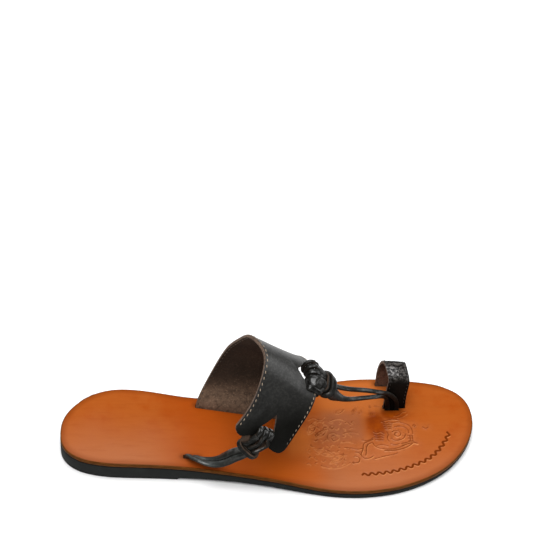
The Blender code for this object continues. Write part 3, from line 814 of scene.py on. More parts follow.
def sweep(name, line, facing, width, wall, material, closed=False, squareness=0.55):
    """A thong along a line of points, facing being the way that its grain side looks at each of them."""
    line = np.asarray(line, float)
    count = len(line)
    if closed:
        ways = np.roll(line, -1, axis=0) - np.roll(line, 1, axis=0)
    else:
        ways = np.gradient(line, axis=0)
    ways = units(ways)
    up = np.asarray(facing, float)
    up = units(up - ways * np.sum(up * ways, axis=1)[:, None])
    side = np.cross(ways, up)
    width = np.broadcast_to(width, count)
    wall = np.broadcast_to(wall, count)
    reach = reach_along(line)
    whole = reach[-1] + (reach[-1] - reach[-2] if closed else 0.0)
    columns = count if closed else count - 1

    def row_of(u):
        return np.round(u * columns).astype(int) % count

    def place(u, v):
        i = row_of(u)
        turn = 2 * math.pi * v
        across = squared(np.cos(turn), squareness) / 2 * width[i]
        over = squared(np.sin(turn), squareness) / 2 * wall[i]
        return line[i] + side[i] * across[:, None] + up[i] * over[:, None]

    def lay(u, v):
        return np.column_stack([np.where(u > 0.999, whole, reach[row_of(u)]) * MM, v])

    piece = new_grid(name, (columns, THONG_CORNERS), place, lay, material)
    close_seams(piece, not closed)
    return piece


def curved(route, count):
    """Middle line and facing of a thong along its route."""
    points = np.array(field(route, "point"), float)
    facing = np.array(field(route, "facing"), float)
    reach = reach_along(points)
    places = np.linspace(0, reach[-1], count)
    return natural_spline(reach, points, places), read_line(facing, reach, places)


def stitch_row(name, places, ways, ups, sizes, material):
    """A row of stitches, one modelled from a sphere and copied to each place."""
    deselect()
    bpy.ops.mesh.primitive_uv_sphere_add(segments=8, ring_count=6, radius=0.5)
    stitch = bpy.context.object
    pattern = bmesh.new()
    pattern.from_mesh(stitch.data)
    # a new sphere lists its faces in another order on each run
    faces = sorted(pattern.faces, key=lambda face: sorted(vert.index for vert in face.verts))
    rows = bmesh.new()
    uv_rows = rows.loops.layers.uv.new("UVMap")
    for place, way, up in zip(places, ways, ups):
        way = Vector(way).normalized()
        up = Vector(up)
        up = (up - way * up.dot(way)).normalized()
        turn = Matrix((way, up.cross(way), up)).transposed()
        scale = Matrix.Diagonal(Vector(sizes))
        copied = {}
        for vert in pattern.verts:
            copied[vert] = rows.verts.new(Vector(place) + turn @ (scale @ vert.co))
        for face in faces:
            made = rows.faces.new([copied[vert] for vert in face.verts])
            made.smooth = True
            for loop, vert in zip(made.loops, face.verts):
                loop[uv_rows].uv = (vert.co.x * sizes[0], vert.co.y * sizes[1])
    pattern.free()
    bpy.data.objects.remove(stitch, do_unlink=True)
    mesh = bpy.data.meshes.new(name)
    rows.to_mesh(mesh)
    rows.free()
    mesh.materials.append(material)
    piece = bpy.data.objects.new(name, mesh)
    bpy.context.scene.collection.objects.link(piece)
    return piece


def seam(name, sheet, side, first, last, sizes, wall, threads):
    """Stitches along one edge of a strap, on both of its faces; side is 0 at the rear and 1 in front."""
    pitch = sizes.stitch_pitch / MM
    thread = sizes.thread_width / MM
    along = np.arange(first, last, pitch)
    size = (pitch * STITCH_SHARE * MM, thread * MM, thread * 0.8 * MM)
    share = sizes.stitch_inset / MM / sheet.width(along)
    across = share if side == 0 else 1 - share
    ways = units(units(sheet.ahead(along, across)) + units(sheet.over(along)) * STITCH_LEAN)
    rows = []
    for height, facing, material in zip((STITCH_RISE, -wall / MM - STITCH_RISE), (1, -1), threads):
        middle = sheet.offset(along, across, np.full(len(along), height))
        ups = sheet.normal(along, across) * facing
        rows.append(stitch_row(f"{name}_{facing}", in_frame(middle), ways, ups, size, material))
    return join(name, rows)


# Tooling: each stroke is a line of points in plan, in millimetres

def curve(points):
    """A smooth tooled line through a few points."""
    rough = smooth_line(points, 60)
    length = np.linalg.norm(np.diff(rough, axis=0), axis=1).sum()
    return smooth_line(points, max(6, int(length / STROKE_STEP)))


def ring(centre, radius, first=0.0, last=360.0):
    """An arc of a circle, or a whole one."""
    count = max(6, int(math.radians(abs(last - first)) * radius / STROKE_STEP))
    turn = np.radians(np.linspace(first, last, count))
    return np.column_stack([centre[0] + radius * np.cos(turn), centre[1] + radius * np.sin(turn)])


def scroll(centre, radius, first, turns, tightness):
    """A line that curls in towards its centre."""
    count = int(abs(turns) * 2 * math.pi * radius / STROKE_STEP)
    share = np.linspace(0, 1, count)
    turn = math.radians(first) + 2 * math.pi * turns * share
    reach = radius * (1 - tightness * share)
    return np.column_stack([centre[0] + reach * np.cos(turn), centre[1] + reach * np.sin(turn)])


def leaf(base, tip, belly, veins):
    """A pointed leaf with a midrib and short veins."""
    base = np.array(base, float)
    tip = np.array(tip, float)
    along = tip - base
    over = np.array([-along[1], along[0]]) / np.linalg.norm(along)
    strokes = []
    for way in (-1, 1):
        middle = [base + along * share + over * way * belly * swell
                  for share, swell in ((0.2, 0.75), (0.45, 1.0), (0.75, 0.6))]
        strokes.append(curve([base, *middle, tip]))
    strokes.append(curve([base, base + along * 0.4 + over * 0.12 * belly, base + along * 0.82]))
    for k in range(veins):
        root = base + along * (0.2 + 0.2 * k)
        for way in (-1, 1):
            reach = root + along * 0.14 + over * way * belly * 0.6
            strokes.append(curve([root, (root + reach) / 2, reach]))
    return strokes


def straight(first, last):
    """A straight tooled line."""
    return np.linspace(first, last, max(4, int(math.dist(first, last) / STROKE_STEP)))


def dashes(points, pitch, length):
    """Short marks along a smooth line."""
    line = smooth_line(points, 400)
    reach = reach_along(line)
    starts = np.arange(0.0, reach[-1] - length, pitch)
    return [read_line(line, reach, np.linspace(start, start + length, 5)) for start in starts]


def curves(*lines):
    """Smooth tooled lines, each through a few points."""
    return [curve(points) for points in lines]


def flower():
    """The pear-shaped flower, with its scroll, folds and feathered edge."""
    strokes = [scroll(FLOWER, 3.4, 150, -1.2, 0.75)]
    strokes += curves(
        [(210.5, 15.4), (214.3, 16.6), (218.6, 17.3), (222.6, 16.4)],
        [(217.6, 14.2), (221.6, 14.9), (225.4, 13.9), (228.6, 11.6), (230.0, 8.6), (230.2, 4.6)],
        [(218.6, 10.7), (222.0, 11.4), (225.2, 10.6), (227.3, 8.2), (227.6, 5.4)],
        [(202.9, -2.6), (204.0, -5.4), (207.8, -7.6), (213.0, -8.0), (218.4, -7.2), (223.4, -5.2)],
        [(210.0, -9.4), (215.6, -9.2), (221.2, -8.1), (226.0, -5.9), (229.4, -3.2)],
        [(221.6, -3.6), (225.4, -2.6), (229.0, -1.8), (232.2, -3.6)],
        [(221.8, -5.2), (225.6, -4.0), (229.4, -3.1), (232.4, -3.8)],
        [(213.0, 6.8), (213.8, 4.4), (212.9, 1.2), (214.0, -1.6)],
        [(215.4, 1.0), (217.8, -0.6), (221.0, -0.4), (223.8, 1.2), (225.2, 4.0)],
        [(214.6, -3.4), (217.6, -4.2), (220.4, -3.4)],
        [(205.2, -5.0), (209.4, -4.4), (212.6, -5.4)],
        [(237.4, 10.4), (239.2, 9.2), (241.0, 10.0)],
    )
    # folds like the teeth of a comb
    for k in range(4):
        strokes += curves(
            [(211.4 + 0.3 * k, 14.9 - 1.9 * k), (213.2 + 0.4 * k, 14.0 - 1.7 * k),
             (215.2 + 0.2 * k, 14.9 - 1.9 * k), (217.4 - 0.2 * k, 13.8 - 1.7 * k)],
            [(204.2 + 0.2 * k, 6.9 - 2.3 * k), (206.2 + 0.4 * k, 5.7 - 2.0 * k),
             (208.6 + 0.2 * k, 6.5 - 2.2 * k), (211.0 - 0.4 * k, 5.2 - 1.9 * k)],
        )
    feathered = [(203.0, -15.9), (206.8, -14.9), (210.5, -13.7), (214.3, -12.8), (219.9, -10.6)]
    strokes += dashes(feathered, 2.1, 1.3)
    # toothed stamp at the flower's side, and a small ring ahead of it
    for k in range(3):
        strokes.append(straight((226.8, 3.1 - 2.2 * k), (229.8, 3.1 - 2.2 * k)))
    strokes += [straight((x, 3.1), (x, -1.3)) for x in (228.0, 229.6)]
    return [*strokes, ring((232.0, 11.8), 0.8)]


def stem():
    """The stem that curls up into the flower."""
    return [ring((188.4, -19.4), 0.6)] + curves(
        [(189.6, -14.0), (191.9, -14.6), (192.8, -16.8), (191.8, -19.0), (188.6, -19.3)],
        [(203.2, 0.2), (200.0, -1.6), (197.2, -3.2), (195.6, -8.8), (194.2, -13.2), (196.1, -15.8)],
        [(202.6, -2.4), (199.4, -4.4), (198.0, -8.8), (197.2, -13.2)],
        [(196.2, -15.8), (199.2, -15.6), (202.0, -13.8)],
        [(183.8, -7.0), (188.4, -7.2), (192.2, -8.2), (195.2, -7.6)],
        [(195.8, -0.4), (199.6, -0.8), (203.4, 1.6)],
        [(190.4, -10.6), (192.6, -11.2), (193.8, -12.8)],
    )


def inner_sprays():
    """Leaves and stamps between the flower and the inner edge."""
    strokes = leaf((180.2, 22.2), (186.4, 25.8), 1.1, 0)
    strokes += leaf((191.4, 21.4), (195.2, 27.6), 1.3, 2)
    strokes += leaf((196.4, 21.8), (198.4, 26.8), 0.9, 0)
    strokes += [ring((193.9, 28.2), 0.7), ring((204.3, 28.3), 0.7)]
    for k in range(4):
        strokes.append(straight((202.9 + 1.2 * k, 20.8), (202.9 + 1.2 * k, 24.8)))
        strokes.append(straight((202.9, 20.9 + 1.2 * k), (206.8, 20.9 + 1.2 * k)))
    return strokes + curves(
        [(207.0, 28.6), (208.8, 29.0), (210.6, 28.4)],
        [(219.4, 20.2), (222.4, 21.0), (225.6, 23.6), (227.6, 24.2)],
        [(221.6, 18.6), (225.0, 19.6), (228.4, 22.0)],
    )


def worn_sprays():
    """Leaves beside the band, worn almost flat underfoot."""
    strokes = leaf((160.6, 3.6), (166.4, 15.2), 2.2, 3)
    strokes += leaf((165.0, 0.8), (173.6, 8.4), 1.8, 2)
    strokes += leaf((176.0, -13.4), (163.6, -8.4), 2.4, 3)
    strokes += leaf((183.0, -12.6), (172.6, -20.2), 2.1, 3)
    strokes += [ring((172.4, 11.0), 1.5), ring((177.0, 10.4), 1.2)]
    strokes.append(scroll((177.6, 1.6), 4.6, 200, -1.3, 0.72))
    return strokes + curves(
        [(161.6, 15.8), (165.6, 17.6), (169.4, 16.2), (172.8, 18.8)],
        [(176.2, 15.6), (181.0, 17.4), (186.0, 16.2), (189.4, 12.6)],
        [(167.4, -22.6), (174.4, -24.0), (181.2, -22.6), (186.2, -19.4)],
        [(184.0, 4.8), (188.8, 6.4), (193.6, 5.2)],
        [(181.6, -2.4), (186.4, -1.8), (191.2, -3.4)],
    )


def stamped_ground():
    """Small curved stamps in rows between the worn leaves."""
    strokes = []
    for row in range(8):
        for column in range(6):
            turn = 57.0 * row + 83.0 * column
            x = 159.0 + 4.6 * column + 1.3 * row + 0.9 * math.sin(2.1 * row + 1.3 * column)
            y = -22.0 + 5.2 * row + 0.9 * math.sin(1.7 * column + 0.6 * row)
            strokes.append(ring((x, y), 1.3, turn, turn + 130.0))
    return strokes


def zigzag():
    """The stamped zigzag along the outer side of the toes."""
    line = smooth_line(ZIGZAG_LINE, 1200)
    way = units(np.gradient(line, axis=0))
    over = np.column_stack([-way[:, 1], way[:, 0]])
    swing = np.sin(2 * math.pi * reach_along(line) / ZIGZAG_PITCH) * ZIGZAG_SWING
    return line + over * swing[:, None]


def distances(points, strokes, far):
    """Distance in plan from each point to the nearest stroke, up to a far distance."""
    places = np.vstack(strokes)
    tree = KDTree(len(places))
    for i, (x, y) in enumerate(places):
        tree.insert((x, y, 0.0), i)
    tree.balance()
    low = places.min(axis=0) - far
    high = places.max(axis=0) + far
    near = np.all((points[:, :2] > low) & (points[:, :2] < high), axis=1)
    result = np.full(len(points), far)
    for i in np.nonzero(near)[0]:
        result[i] = min(far, tree.find((points[i, 0], points[i, 1], 0.0))[2])
    return result


class Signal:
    """The output of a shader node, on which Python's operators add Math nodes."""

    def __init__(self, graph, socket):
        self.graph = graph
        self.socket = socket

    def __add__(self, other):
        return self.graph.maths("ADD", self, other)

    __radd__ = __add__

    def __mul__(self, other):
        return self.graph.maths("MULTIPLY", self, other)

    __rmul__ = __mul__

    def __sub__(self, other):
        return self.graph.maths("SUBTRACT", self, other)

    def __rsub__(self, other):
        return self.graph.maths("SUBTRACT", other, self)


class Graph:
    """A material's nodes, with its Principled shader at hand."""

    def __init__(self, name, **constants):
        self.material = bpy.data.materials.new(name)
        self.material.use_nodes = True
        self.tree = self.material.node_tree
        self.shader = self.tree.nodes["Principled BSDF"]
        for socket, value in constants.items():
            self.shader.inputs[socket.replace("_", " ").title().replace("Ior", "IOR")].default_value = value
        self.here = self.place()  # object coordinates

    def feed(self, socket, value):
        """Link or set one socket."""
        if isinstance(value, Signal):
            self.tree.links.new(value.socket, socket)
        elif socket.type == "RGBA":
            socket.default_value = (*value, 1.0)
        else:
            socket.default_value = value

    def add(self, kind, settings=None, sockets=None, output=0):
        """Add any node: its settings first, then the values or links of its sockets."""
        node = self.tree.nodes.new(kind)
        for name, value in (settings or {}).items():
            setattr(node, name, value)
        for name, value in (sockets or {}).items():
            self.feed(node.inputs[name], value)
        return Signal(self, node.outputs[output])

    def maths(self, operation, *values):
        """A Math node."""
        return self.add("ShaderNodeMath", {"operation": operation}, dict(enumerate(values)))

    def ramp(self, value, low, high):
        """0 below low, 1 above high, and smooth between."""
        return self.add("ShaderNodeMapRange", {"interpolation_type": "SMOOTHSTEP"},
                        {"Value": value, "From Min": low, "From Max": high})

    def window(self, value, edges):
        """Rising from 0 to 1 between the first two edges, and falling again between the last two."""
        return self.ramp(value, *edges[:2]) * (1 - self.ramp(value, *edges[2:]))

    def mix(self, share, first, second):
        """A colour between two."""
        node = self.tree.nodes.new("ShaderNodeMix")
        node.data_type = "RGBA"
        sockets = {socket.identifier: socket for socket in node.inputs}
        for name, value in (("Factor_Float", share), ("A_Color", first), ("B_Color", second)):
            self.feed(sockets[name], value)
        return Signal(self, next(socket for socket in node.outputs if socket.identifier == "Result_Color"))

    def tones(self, base, first, *layers):
        """The base colour at a first tone, with layers of other tones over it.

        Each layer is a pattern, where the pattern starts and ends, the layer's share and its tone.
        """
        colour = scaled(base, first)
        for pattern, low, high, share, tone in layers:
            colour = self.mix(self.ramp(pattern, low, high) * share, colour, scaled(base, tone))
        return colour

    def place(self, stretch=(1.0, 1.0, 1.0), by_uv=False):
        """Object coordinates or the piece's own UV map, stretched."""
        source = self.add("ShaderNodeTexCoord", output=2 if by_uv else 3)
        return self.add("ShaderNodeMapping", None, {"Vector": source, "Scale": stretch})

    def noise(self, scale, detail, roughness, place=None):
        """Soft noise from 0 to 1."""
        return self.add("ShaderNodeTexNoise", None, {
            "Vector": place or self.here, "Scale": scale, "Detail": detail, "Roughness": roughness})

    def cells(self, scale, smooth=0.0):
        """Distance to the nearest cell centre, with the borders between cells sharp or smooth."""
        sockets = {"Vector": self.here, "Scale": scale}
        if smooth:
            sockets["Smoothness"] = smooth
        return self.add("ShaderNodeTexVoronoi", {"feature": "SMOOTH_F1" if smooth else "F1"}, sockets)

    def stored(self, name):
        """A number stored on the mesh."""
        return self.add("ShaderNodeAttribute", {"attribute_name": name}, output=2)

    def across(self, place, axis):
        """One coordinate of a place."""
        return self.add("ShaderNodeSeparateXYZ", None, {0: place}, output=axis)

    def relief(self, height, distance, strength):
        """A height map as a normal."""
        sockets = {"Height": height, "Distance": distance, "Strength": strength}
        return self.add("ShaderNodeBump", None, sockets)

    def set(self, **sockets):
        """Feed the shader's own sockets."""
        for name, value in sockets.items():
            self.feed(self.shader.inputs[name.replace("_", " ").title()], value)
        return self.material


def scaled(colour, factor):
    """A colour made lighter or darker."""
    return tuple(min(1.0, channel * factor) for channel in colour)


def tan_leather(colours):
    """Smooth tan leather: mottled dye, fine grain, dark tooled lines, a burnished rim, and painted light
    and shade.
    """
    g = Graph("tan_leather", specular_ior_level=0.012, coat_roughness=0.32)
    x = g.across(g.here, 0)
    y = g.across(g.here, 1)
    broad = g.noise(14.0, 2.0, 0.5)
    mottle = g.noise(70.0, 4.0, 0.6)
    streaks = g.noise(60.0, 4.0, 0.6, g.place((1.0, 7.0, 1.0)))
    grain = g.noise(1500.0, 2.0, 0.5)
    pores = g.cells(900.0)
    # the dye, from heel to toe; paler on the outer side, partly thinner dye and partly painted sheen
    outer = 1 - g.ramp(y + (broad - 0.5) * 0.05, -0.045, 0.022)
    waist = g.window(x, WAIST)
    pale_and_sheen = outer * (1 - waist * 0.85)
    colour = g.mix(g.ramp(mottle + waist * 0.25, 0.4, 0.85), colours.tan, colours.orange)
    colour = g.mix(waist * 0.8, colour, colours.orange)
    colour = g.mix(pale_and_sheen * (0.65 + mottle * 0.5), colour, colours.pale)
    colour = g.mix(g.ramp(streaks, 0.45, 0.75) * 0.16, colour, scaled(colours.orange, 0.62))
    # patches of painted light, lifting the shade that the band and the cords cast on the insole
    for patch in PAINTED_LIGHT_PATCHES:
        share = g.window(x, patch.along) * g.window(y, patch.across) * patch.share
        colour = g.mix(share, colour, patch.tint)
    # the rim, the dark spots, and a greyish haze on the ball that is painted sheen
    rim = g.stored("rim")
    burnt = (1 - g.ramp(rim, 0.6, 5.5)) * 0.5
    colour = g.mix(burnt, colour, scaled(colours.orange, 0.5))
    colour = g.mix((1 - g.ramp(rim, 0.35, 1.2)) * 0.8, colour, scaled(colours.burnish, 1.5))
    stain = g.stored("stain")
    spot_darkening = g.ramp(stain + (mottle - 0.5) * 0.4 + (streaks - 0.5) * 0.3, 0.15, 0.75)
    spot_tint = g.mix(g.ramp(mottle, 0.35, 0.7), DARK_SPOT_TINT, DARK_SPOT_EDGE_TINT)
    colour = g.mix(spot_darkening * 0.92, colour, spot_tint)
    sheen_haze = g.window(x, SHEEN_HAZE.along) * g.window(y, SHEEN_HAZE.across)
    colour = g.mix(sheen_haze * (SHEEN_HAZE.share + mottle * 0.35), colour, SHEEN_HAZE.tint)
    # the tooling
    worked = g.stored("worked") * (1 - stain)
    colour = g.mix(worked * (0.1 + mottle * 0.5), colour, WORKED_TINT)
    speckle = g.ramp(g.noise(420.0, 3.0, 0.6), 0.48, 0.62)
    colour = g.mix(worked * speckle * 0.35, colour, SPECKLE_TINT)
    lip = g.stored("lip")
    # pale lips on the side of each line that faces the light: partly worn raised edges, partly a painted
    # highlight
    colour = g.mix(lip * g.ramp(mottle, 0.35, 0.62) * 0.75, colour, LIP_HIGHLIGHT_TINT)
    tooling = g.stored("tooling")
    colour = g.mix(g.ramp(tooling, 0.2, 0.95) * (0.30 + mottle * 0.75), colour, TOOLED_TINT)
    stamp = g.stored("stamp")
    colour = g.mix(g.ramp(stamp, 0.15, 0.6) * 0.95, colour, STAMPED_TINT)
    # painted shadow beside the slots, where the straps go in
    colour = g.mix(g.stored("slot") * 0.6, colour, SLOT_SHADE_TINT)
    rough = 0.42 + mottle * 0.16 + g.ramp(stamp, 0.2, 0.8) * 0.2 - burnt * 0.2
    coat = (0.02 + pale_and_sheen * 0.17 + lip * 0.3) * (1 - g.ramp(stamp, 0.1, 0.6)) * (1 - tooling * 0.8)
    height = grain * 0.25 + g.ramp(pores, 0.0, 0.35) * 0.35 + streaks * 0.6 + mottle * 0.8
    relief = g.relief(height, 0.00018, 0.5)
    return g.set(base_color=colour, roughness=rough, coat_weight=coat, normal=relief)


def burnished_edge(burnish):
    """The insole's cut edge, dyed and rubbed dark."""
    g = Graph("burnished_edge", specular_ior_level=0.04)
    fibres = g.noise(160.0, 4.0, 0.65, g.place((1.0, 1.0, 9.0)))
    patches = g.noise(60.0, 2.0, 0.5)
    colour = g.tones(burnish, 0.6, (fibres, 0.35, 0.7, 1.0, 1.9), (patches, 0.4, 0.7, 0.5, 1.2))
    return g.set(base_color=colour, roughness=0.45 + fibres * 0.25, normal=g.relief(fibres, 0.00025, 0.6))


def black_rubber(rubber):
    """Matt moulded rubber with a fine pebble and a little dust."""
    g = Graph("black_rubber", specular_ior_level=0.12)
    dust = g.noise(45.0, 4.0, 0.6)
    scuffs = g.noise(120.0, 3.0, 0.6, g.place((1.0, 1.0, 12.0)))
    colour = g.tones(rubber, 1.0, (dust, 0.45, 0.8, 0.5, 2.6), (scuffs, 0.6, 0.8, 0.3, 3.2))
    pebble = g.relief(g.cells(1100.0) + scuffs * 0.5, 0.0001, 0.5)
    return g.set(base_color=colour, roughness=0.62 + dust * 0.2, normal=pebble)


def grain_leather(name, base, roughness, shine_low, shine_high, shine, glitter):
    """Black strap leather: pebbled grain and faint creases, worn to a shine between two heights, with
    painted glints there.
    """
    g = Graph(name, specular_ior_level=0.02, coat_roughness=roughness)
    mottle = g.noise(55.0, 4.0, 0.6)
    wrinkle = g.noise(260.0, 3.0, 0.6, g.place((1.0, 1.0, 2.2)))
    pebble = g.cells(1300.0, 0.4)
    colour = g.tones(base, 1.0, (mottle, 0.35, 0.75, 1.0, 1.7), (wrinkle, 0.55, 0.8, 0.3, 2.4))
    rubbed_and_painted_light = g.ramp(g.across(g.here, 2) + (mottle - 0.5) * 0.008, shine_low, shine_high)
    clouds = g.ramp(g.noise(24.0, 2.0, 0.5), 0.3, 0.7)
    specks = g.ramp(g.noise(650.0, 3.0, 0.7), 0.45, 0.62)
    # painted glints: specks of far lighter colour within the shine
    colour = g.mix(rubbed_and_painted_light * specks * glitter, colour, scaled(base, 12.0))
    coat = rubbed_and_painted_light * (0.5 + mottle * 0.6 + clouds * 0.4) * (1 - glitter + specks * 2 * glitter) * shine
    height = pebble * 0.7 + wrinkle * 0.8 + mottle * 0.6
    return g.set(base_color=colour, roughness=0.5 + mottle * 0.15, coat_weight=coat,
                 normal=g.relief(height, 0.00016, 0.55))


def suede_leather(name, base):
    """Flesh side of a strap: short brown nap, lighter low down where worn and as painted light, darker
    higher up as painted shade.
    """
    g = Graph(name, specular_ior_level=0.15)
    nap = g.noise(850.0, 5.0, 0.75)
    clumps = g.noise(300.0, 4.0, 0.7)
    patches = g.noise(40.0, 3.0, 0.5)
    # lighter low down and much darker higher up: painted light and shade, with the nap partly worn low down
    low = 1 - g.ramp(g.across(g.here, 2) + (patches - 0.5) * 0.016, 0.015, 0.036)
    shaded_tone = g.tones(base, 0.20, (patches, 0.4, 0.7, 1.0, 0.34))
    rubbed_and_painted_light = g.tones(base, 1.1, (patches, 0.4, 0.7, 1.0, 1.7))
    colour = g.mix(low, shaded_tone, rubbed_and_painted_light)
    colour = g.mix(g.ramp(clumps, 0.42, 0.68) * 0.6, colour, scaled(base, 0.22))
    tips = g.ramp(nap, 0.50, 0.72)
    colour = g.mix(tips * (0.12 + low * 0.45), colour, scaled(base, 3.0))
    return g.set(base_color=colour, roughness=0.92, normal=g.relief(nap + clumps * 1.4, 0.0006, 0.8))


def raw_edge(name, base):
    """A raw cut edge: packed fibres in thin layers."""
    g = Graph(name, specular_ior_level=0.25)
    fibres = g.noise(900.0, 4.0, 0.7)
    patches = g.noise(110.0, 3.0, 0.6)
    colour = g.tones(base, 0.55, (fibres, 0.35, 0.7, 1.0, 1.5), (patches, 0.45, 0.75, 0.5, 0.5))
    return g.set(base_color=colour, roughness=0.85, normal=g.relief(fibres, 0.0003, 0.6))


def thong_leather(name, colours, edge_share, shine, black=1.0, brown=1.0, edge_reach=0.42, dull_below=0.0,
                  painted_highlight=0.0, polish=0.22):
    """A thong's leather: black grain, a brown flesh side and cut edges between them, with a painted
    highlight on top.
    """
    g = Graph(name, specular_ior_level=0.05, coat_roughness=polish)
    base = scaled(colours.strap, black)
    edge = scaled(colours.cut_edge, brown)
    turn = g.maths("SINE", g.across(g.place(by_uv=True), 1) * (2 * math.pi))
    edge_on = 1 - g.ramp(g.maths("ABSOLUTE", turn), 0.10, edge_reach)
    flesh = 1 - g.ramp(turn, -0.75, -0.35)
    lengthwise = g.noise(1.0, 3.0, 0.6, g.place((220.0, 4.0, 1.0), True))
    mottle = g.noise(180.0, 4.0, 0.6)
    crease = g.noise(1.0, 2.0, 0.5, g.place((900.0, 1.2, 1.0), True))
    colour = g.tones(base, 1.0, (mottle, 0.4, 0.75, 1.0, 2.4), (crease, 0.6, 0.8, 0.3, 4.0))
    worn = edge_on * g.ramp(lengthwise, 0.25, 0.6) * edge_share
    colour = g.mix(worn, colour, edge)
    colour = g.mix(flesh * 0.8, colour, scaled(edge, 0.8))
    streak = g.noise(1.0, 2.0, 0.5, g.place((40.0, 7.0, 1.0), True))
    patches = g.ramp(mottle * 0.5 + streak * 0.5, 0.42, 0.60)
    upward = g.stored("upward")
    shining = g.ramp(g.across(g.here, 2), dull_below, dull_below + 0.012) * (1 - worn) * (1 - flesh) * shine
    # painted highlight: a greyish tint on the faces that look up
    rubbed_and_painted_light = g.ramp(upward, 0.3, 0.95) * (0.4 + patches * 0.6) * shining * painted_highlight
    colour = g.mix(rubbed_and_painted_light, colour, THONG_HIGHLIGHT_TINT)
    rough = 0.4 + mottle * 0.14 + worn * 0.4
    coat = (0.06 + patches * 0.94) * g.ramp(upward, -0.2, 0.65) * shining
    creases = g.relief(mottle + crease * 1.2, 0.0004, 0.6)
    return g.set(base_color=colour, roughness=rough, coat_weight=coat, normal=creases)


def waxed_thread(name, base):
    """Waxed thread with its twist, darker lower down."""
    g = Graph(name)
    low = 1 - g.ramp(g.across(g.here, 2), 0.040, 0.060)
    twist = g.add("ShaderNodeTexWave", {"wave_type": "BANDS", "bands_direction": "DIAGONAL"},
                  {"Vector": g.here, "Scale": 900.0, "Distortion": 0.6}, output=1)
    dirt = g.noise(160.0, 3.0, 0.6)
    colour = g.tones(base, 1.0, (dirt, 0.4, 0.75, 0.6, 0.4))
    colour = g.mix(low * 0.95, colour, scaled(base, 0.06))
    colour = g.mix(twist * 0.35, colour, scaled(base, 0.5))
    return g.set(base_color=colour, roughness=0.6, normal=g.relief(twist, 0.0001, 0.5))


def plain_floor(colour):
    """The floor's even matt paint."""
    g = Graph("floor_paint", specular_ior_level=0.2)
    speck = g.noise(30.0, 2.0, 0.5)
    return g.set(base_color=g.mix(speck * 0.02, colour, scaled(colour, 0.95)), roughness=0.8)


def sole_layer(name, size, height, *materials):
    """A grid over the whole plan of the sole, at the height that height(x) gives."""
    def place(u, v):
        plan = sole_plan(u, v)
        return np.column_stack([plan, height(plan[:, 0])])

    def lay(u, v):
        return sole_plan(u, v) * MM

    return new_grid(name, size, place, lay, *materials)


def make_insole(sizes, colours):
    """The tan leather board, with its burnished edge, tooled ornament and slots."""
    edge = burnished_edge(colours.burnish)
    piece = sole_layer("insole_board", INSOLE_GRID, sole_top, tan_leather(colours), edge)
    apply_modifier(piece, "SOLIDIFY", thickness=sizes.insole_wall, offset=-1.0, material_offset=1,
                   material_offset_rim=1)
    round_edges(piece, INSOLE_ROUND, 3)
    wall = sizes.insole_wall / MM
    band = Sheet(BAND_SECTIONS)
    toe = Sheet(TOE_SECTIONS)
    cutters = [
        sheet_cutter("band_slot", band, True, sizes.band_wall / MM, edge),
        sheet_cutter("toe_inner_slot", toe, True, sizes.toe_wall / MM, edge),
        sheet_cutter("toe_outer_slot", toe, False, sizes.toe_wall / MM, edge),
    ]
    for name, slot in (("tails_slot", TAILS_SLOT), ("cords_slot", CORDS_SLOT)):
        height = sole_top(slot.x)[0]
        low = (slot.x - slot.length / 2, slot.y - slot.width / 2, height - 2 * wall)
        high = (slot.x + slot.length / 2, slot.y + slot.width / 2, height + wall)
        cutters.append(block_cutter(name, low, high, edge))
    for cutter in cutters:
        take_away(piece, cutter)
    refine(piece, TOOLED_LOW, TOOLED_HIGH, 3)
    tool(piece, sizes)
    shade(piece, 50.0)
    return piece


def refine(piece, low, high, cuts):
    """Subdivide the upper faces between two corners in plan."""
    centres, normals = cell_centres(piece)
    plan = in_tables(centres)[:, :2]
    wanted = (normals[:, 2] > 0.95) & np.all((plan > low) & (plan < high), axis=1)
    edit(piece, "DESELECT")
    bpy.ops.mesh.select_mode(type="FACE")
    leave_edit()
    for face, chosen in zip(piece.data.polygons, wanted):
        face.select = bool(chosen and len(face.vertices) == 4)
    bpy.ops.object.mode_set(mode="EDIT")
    bpy.ops.mesh.subdivide(number_cuts=cuts)
    leave_edit()


def spot(points, row):
    """A soft spot of height one in plan."""
    return bump(points[:, 0], row.x, row.length) * bump(points[:, 1], row.y, row.width)


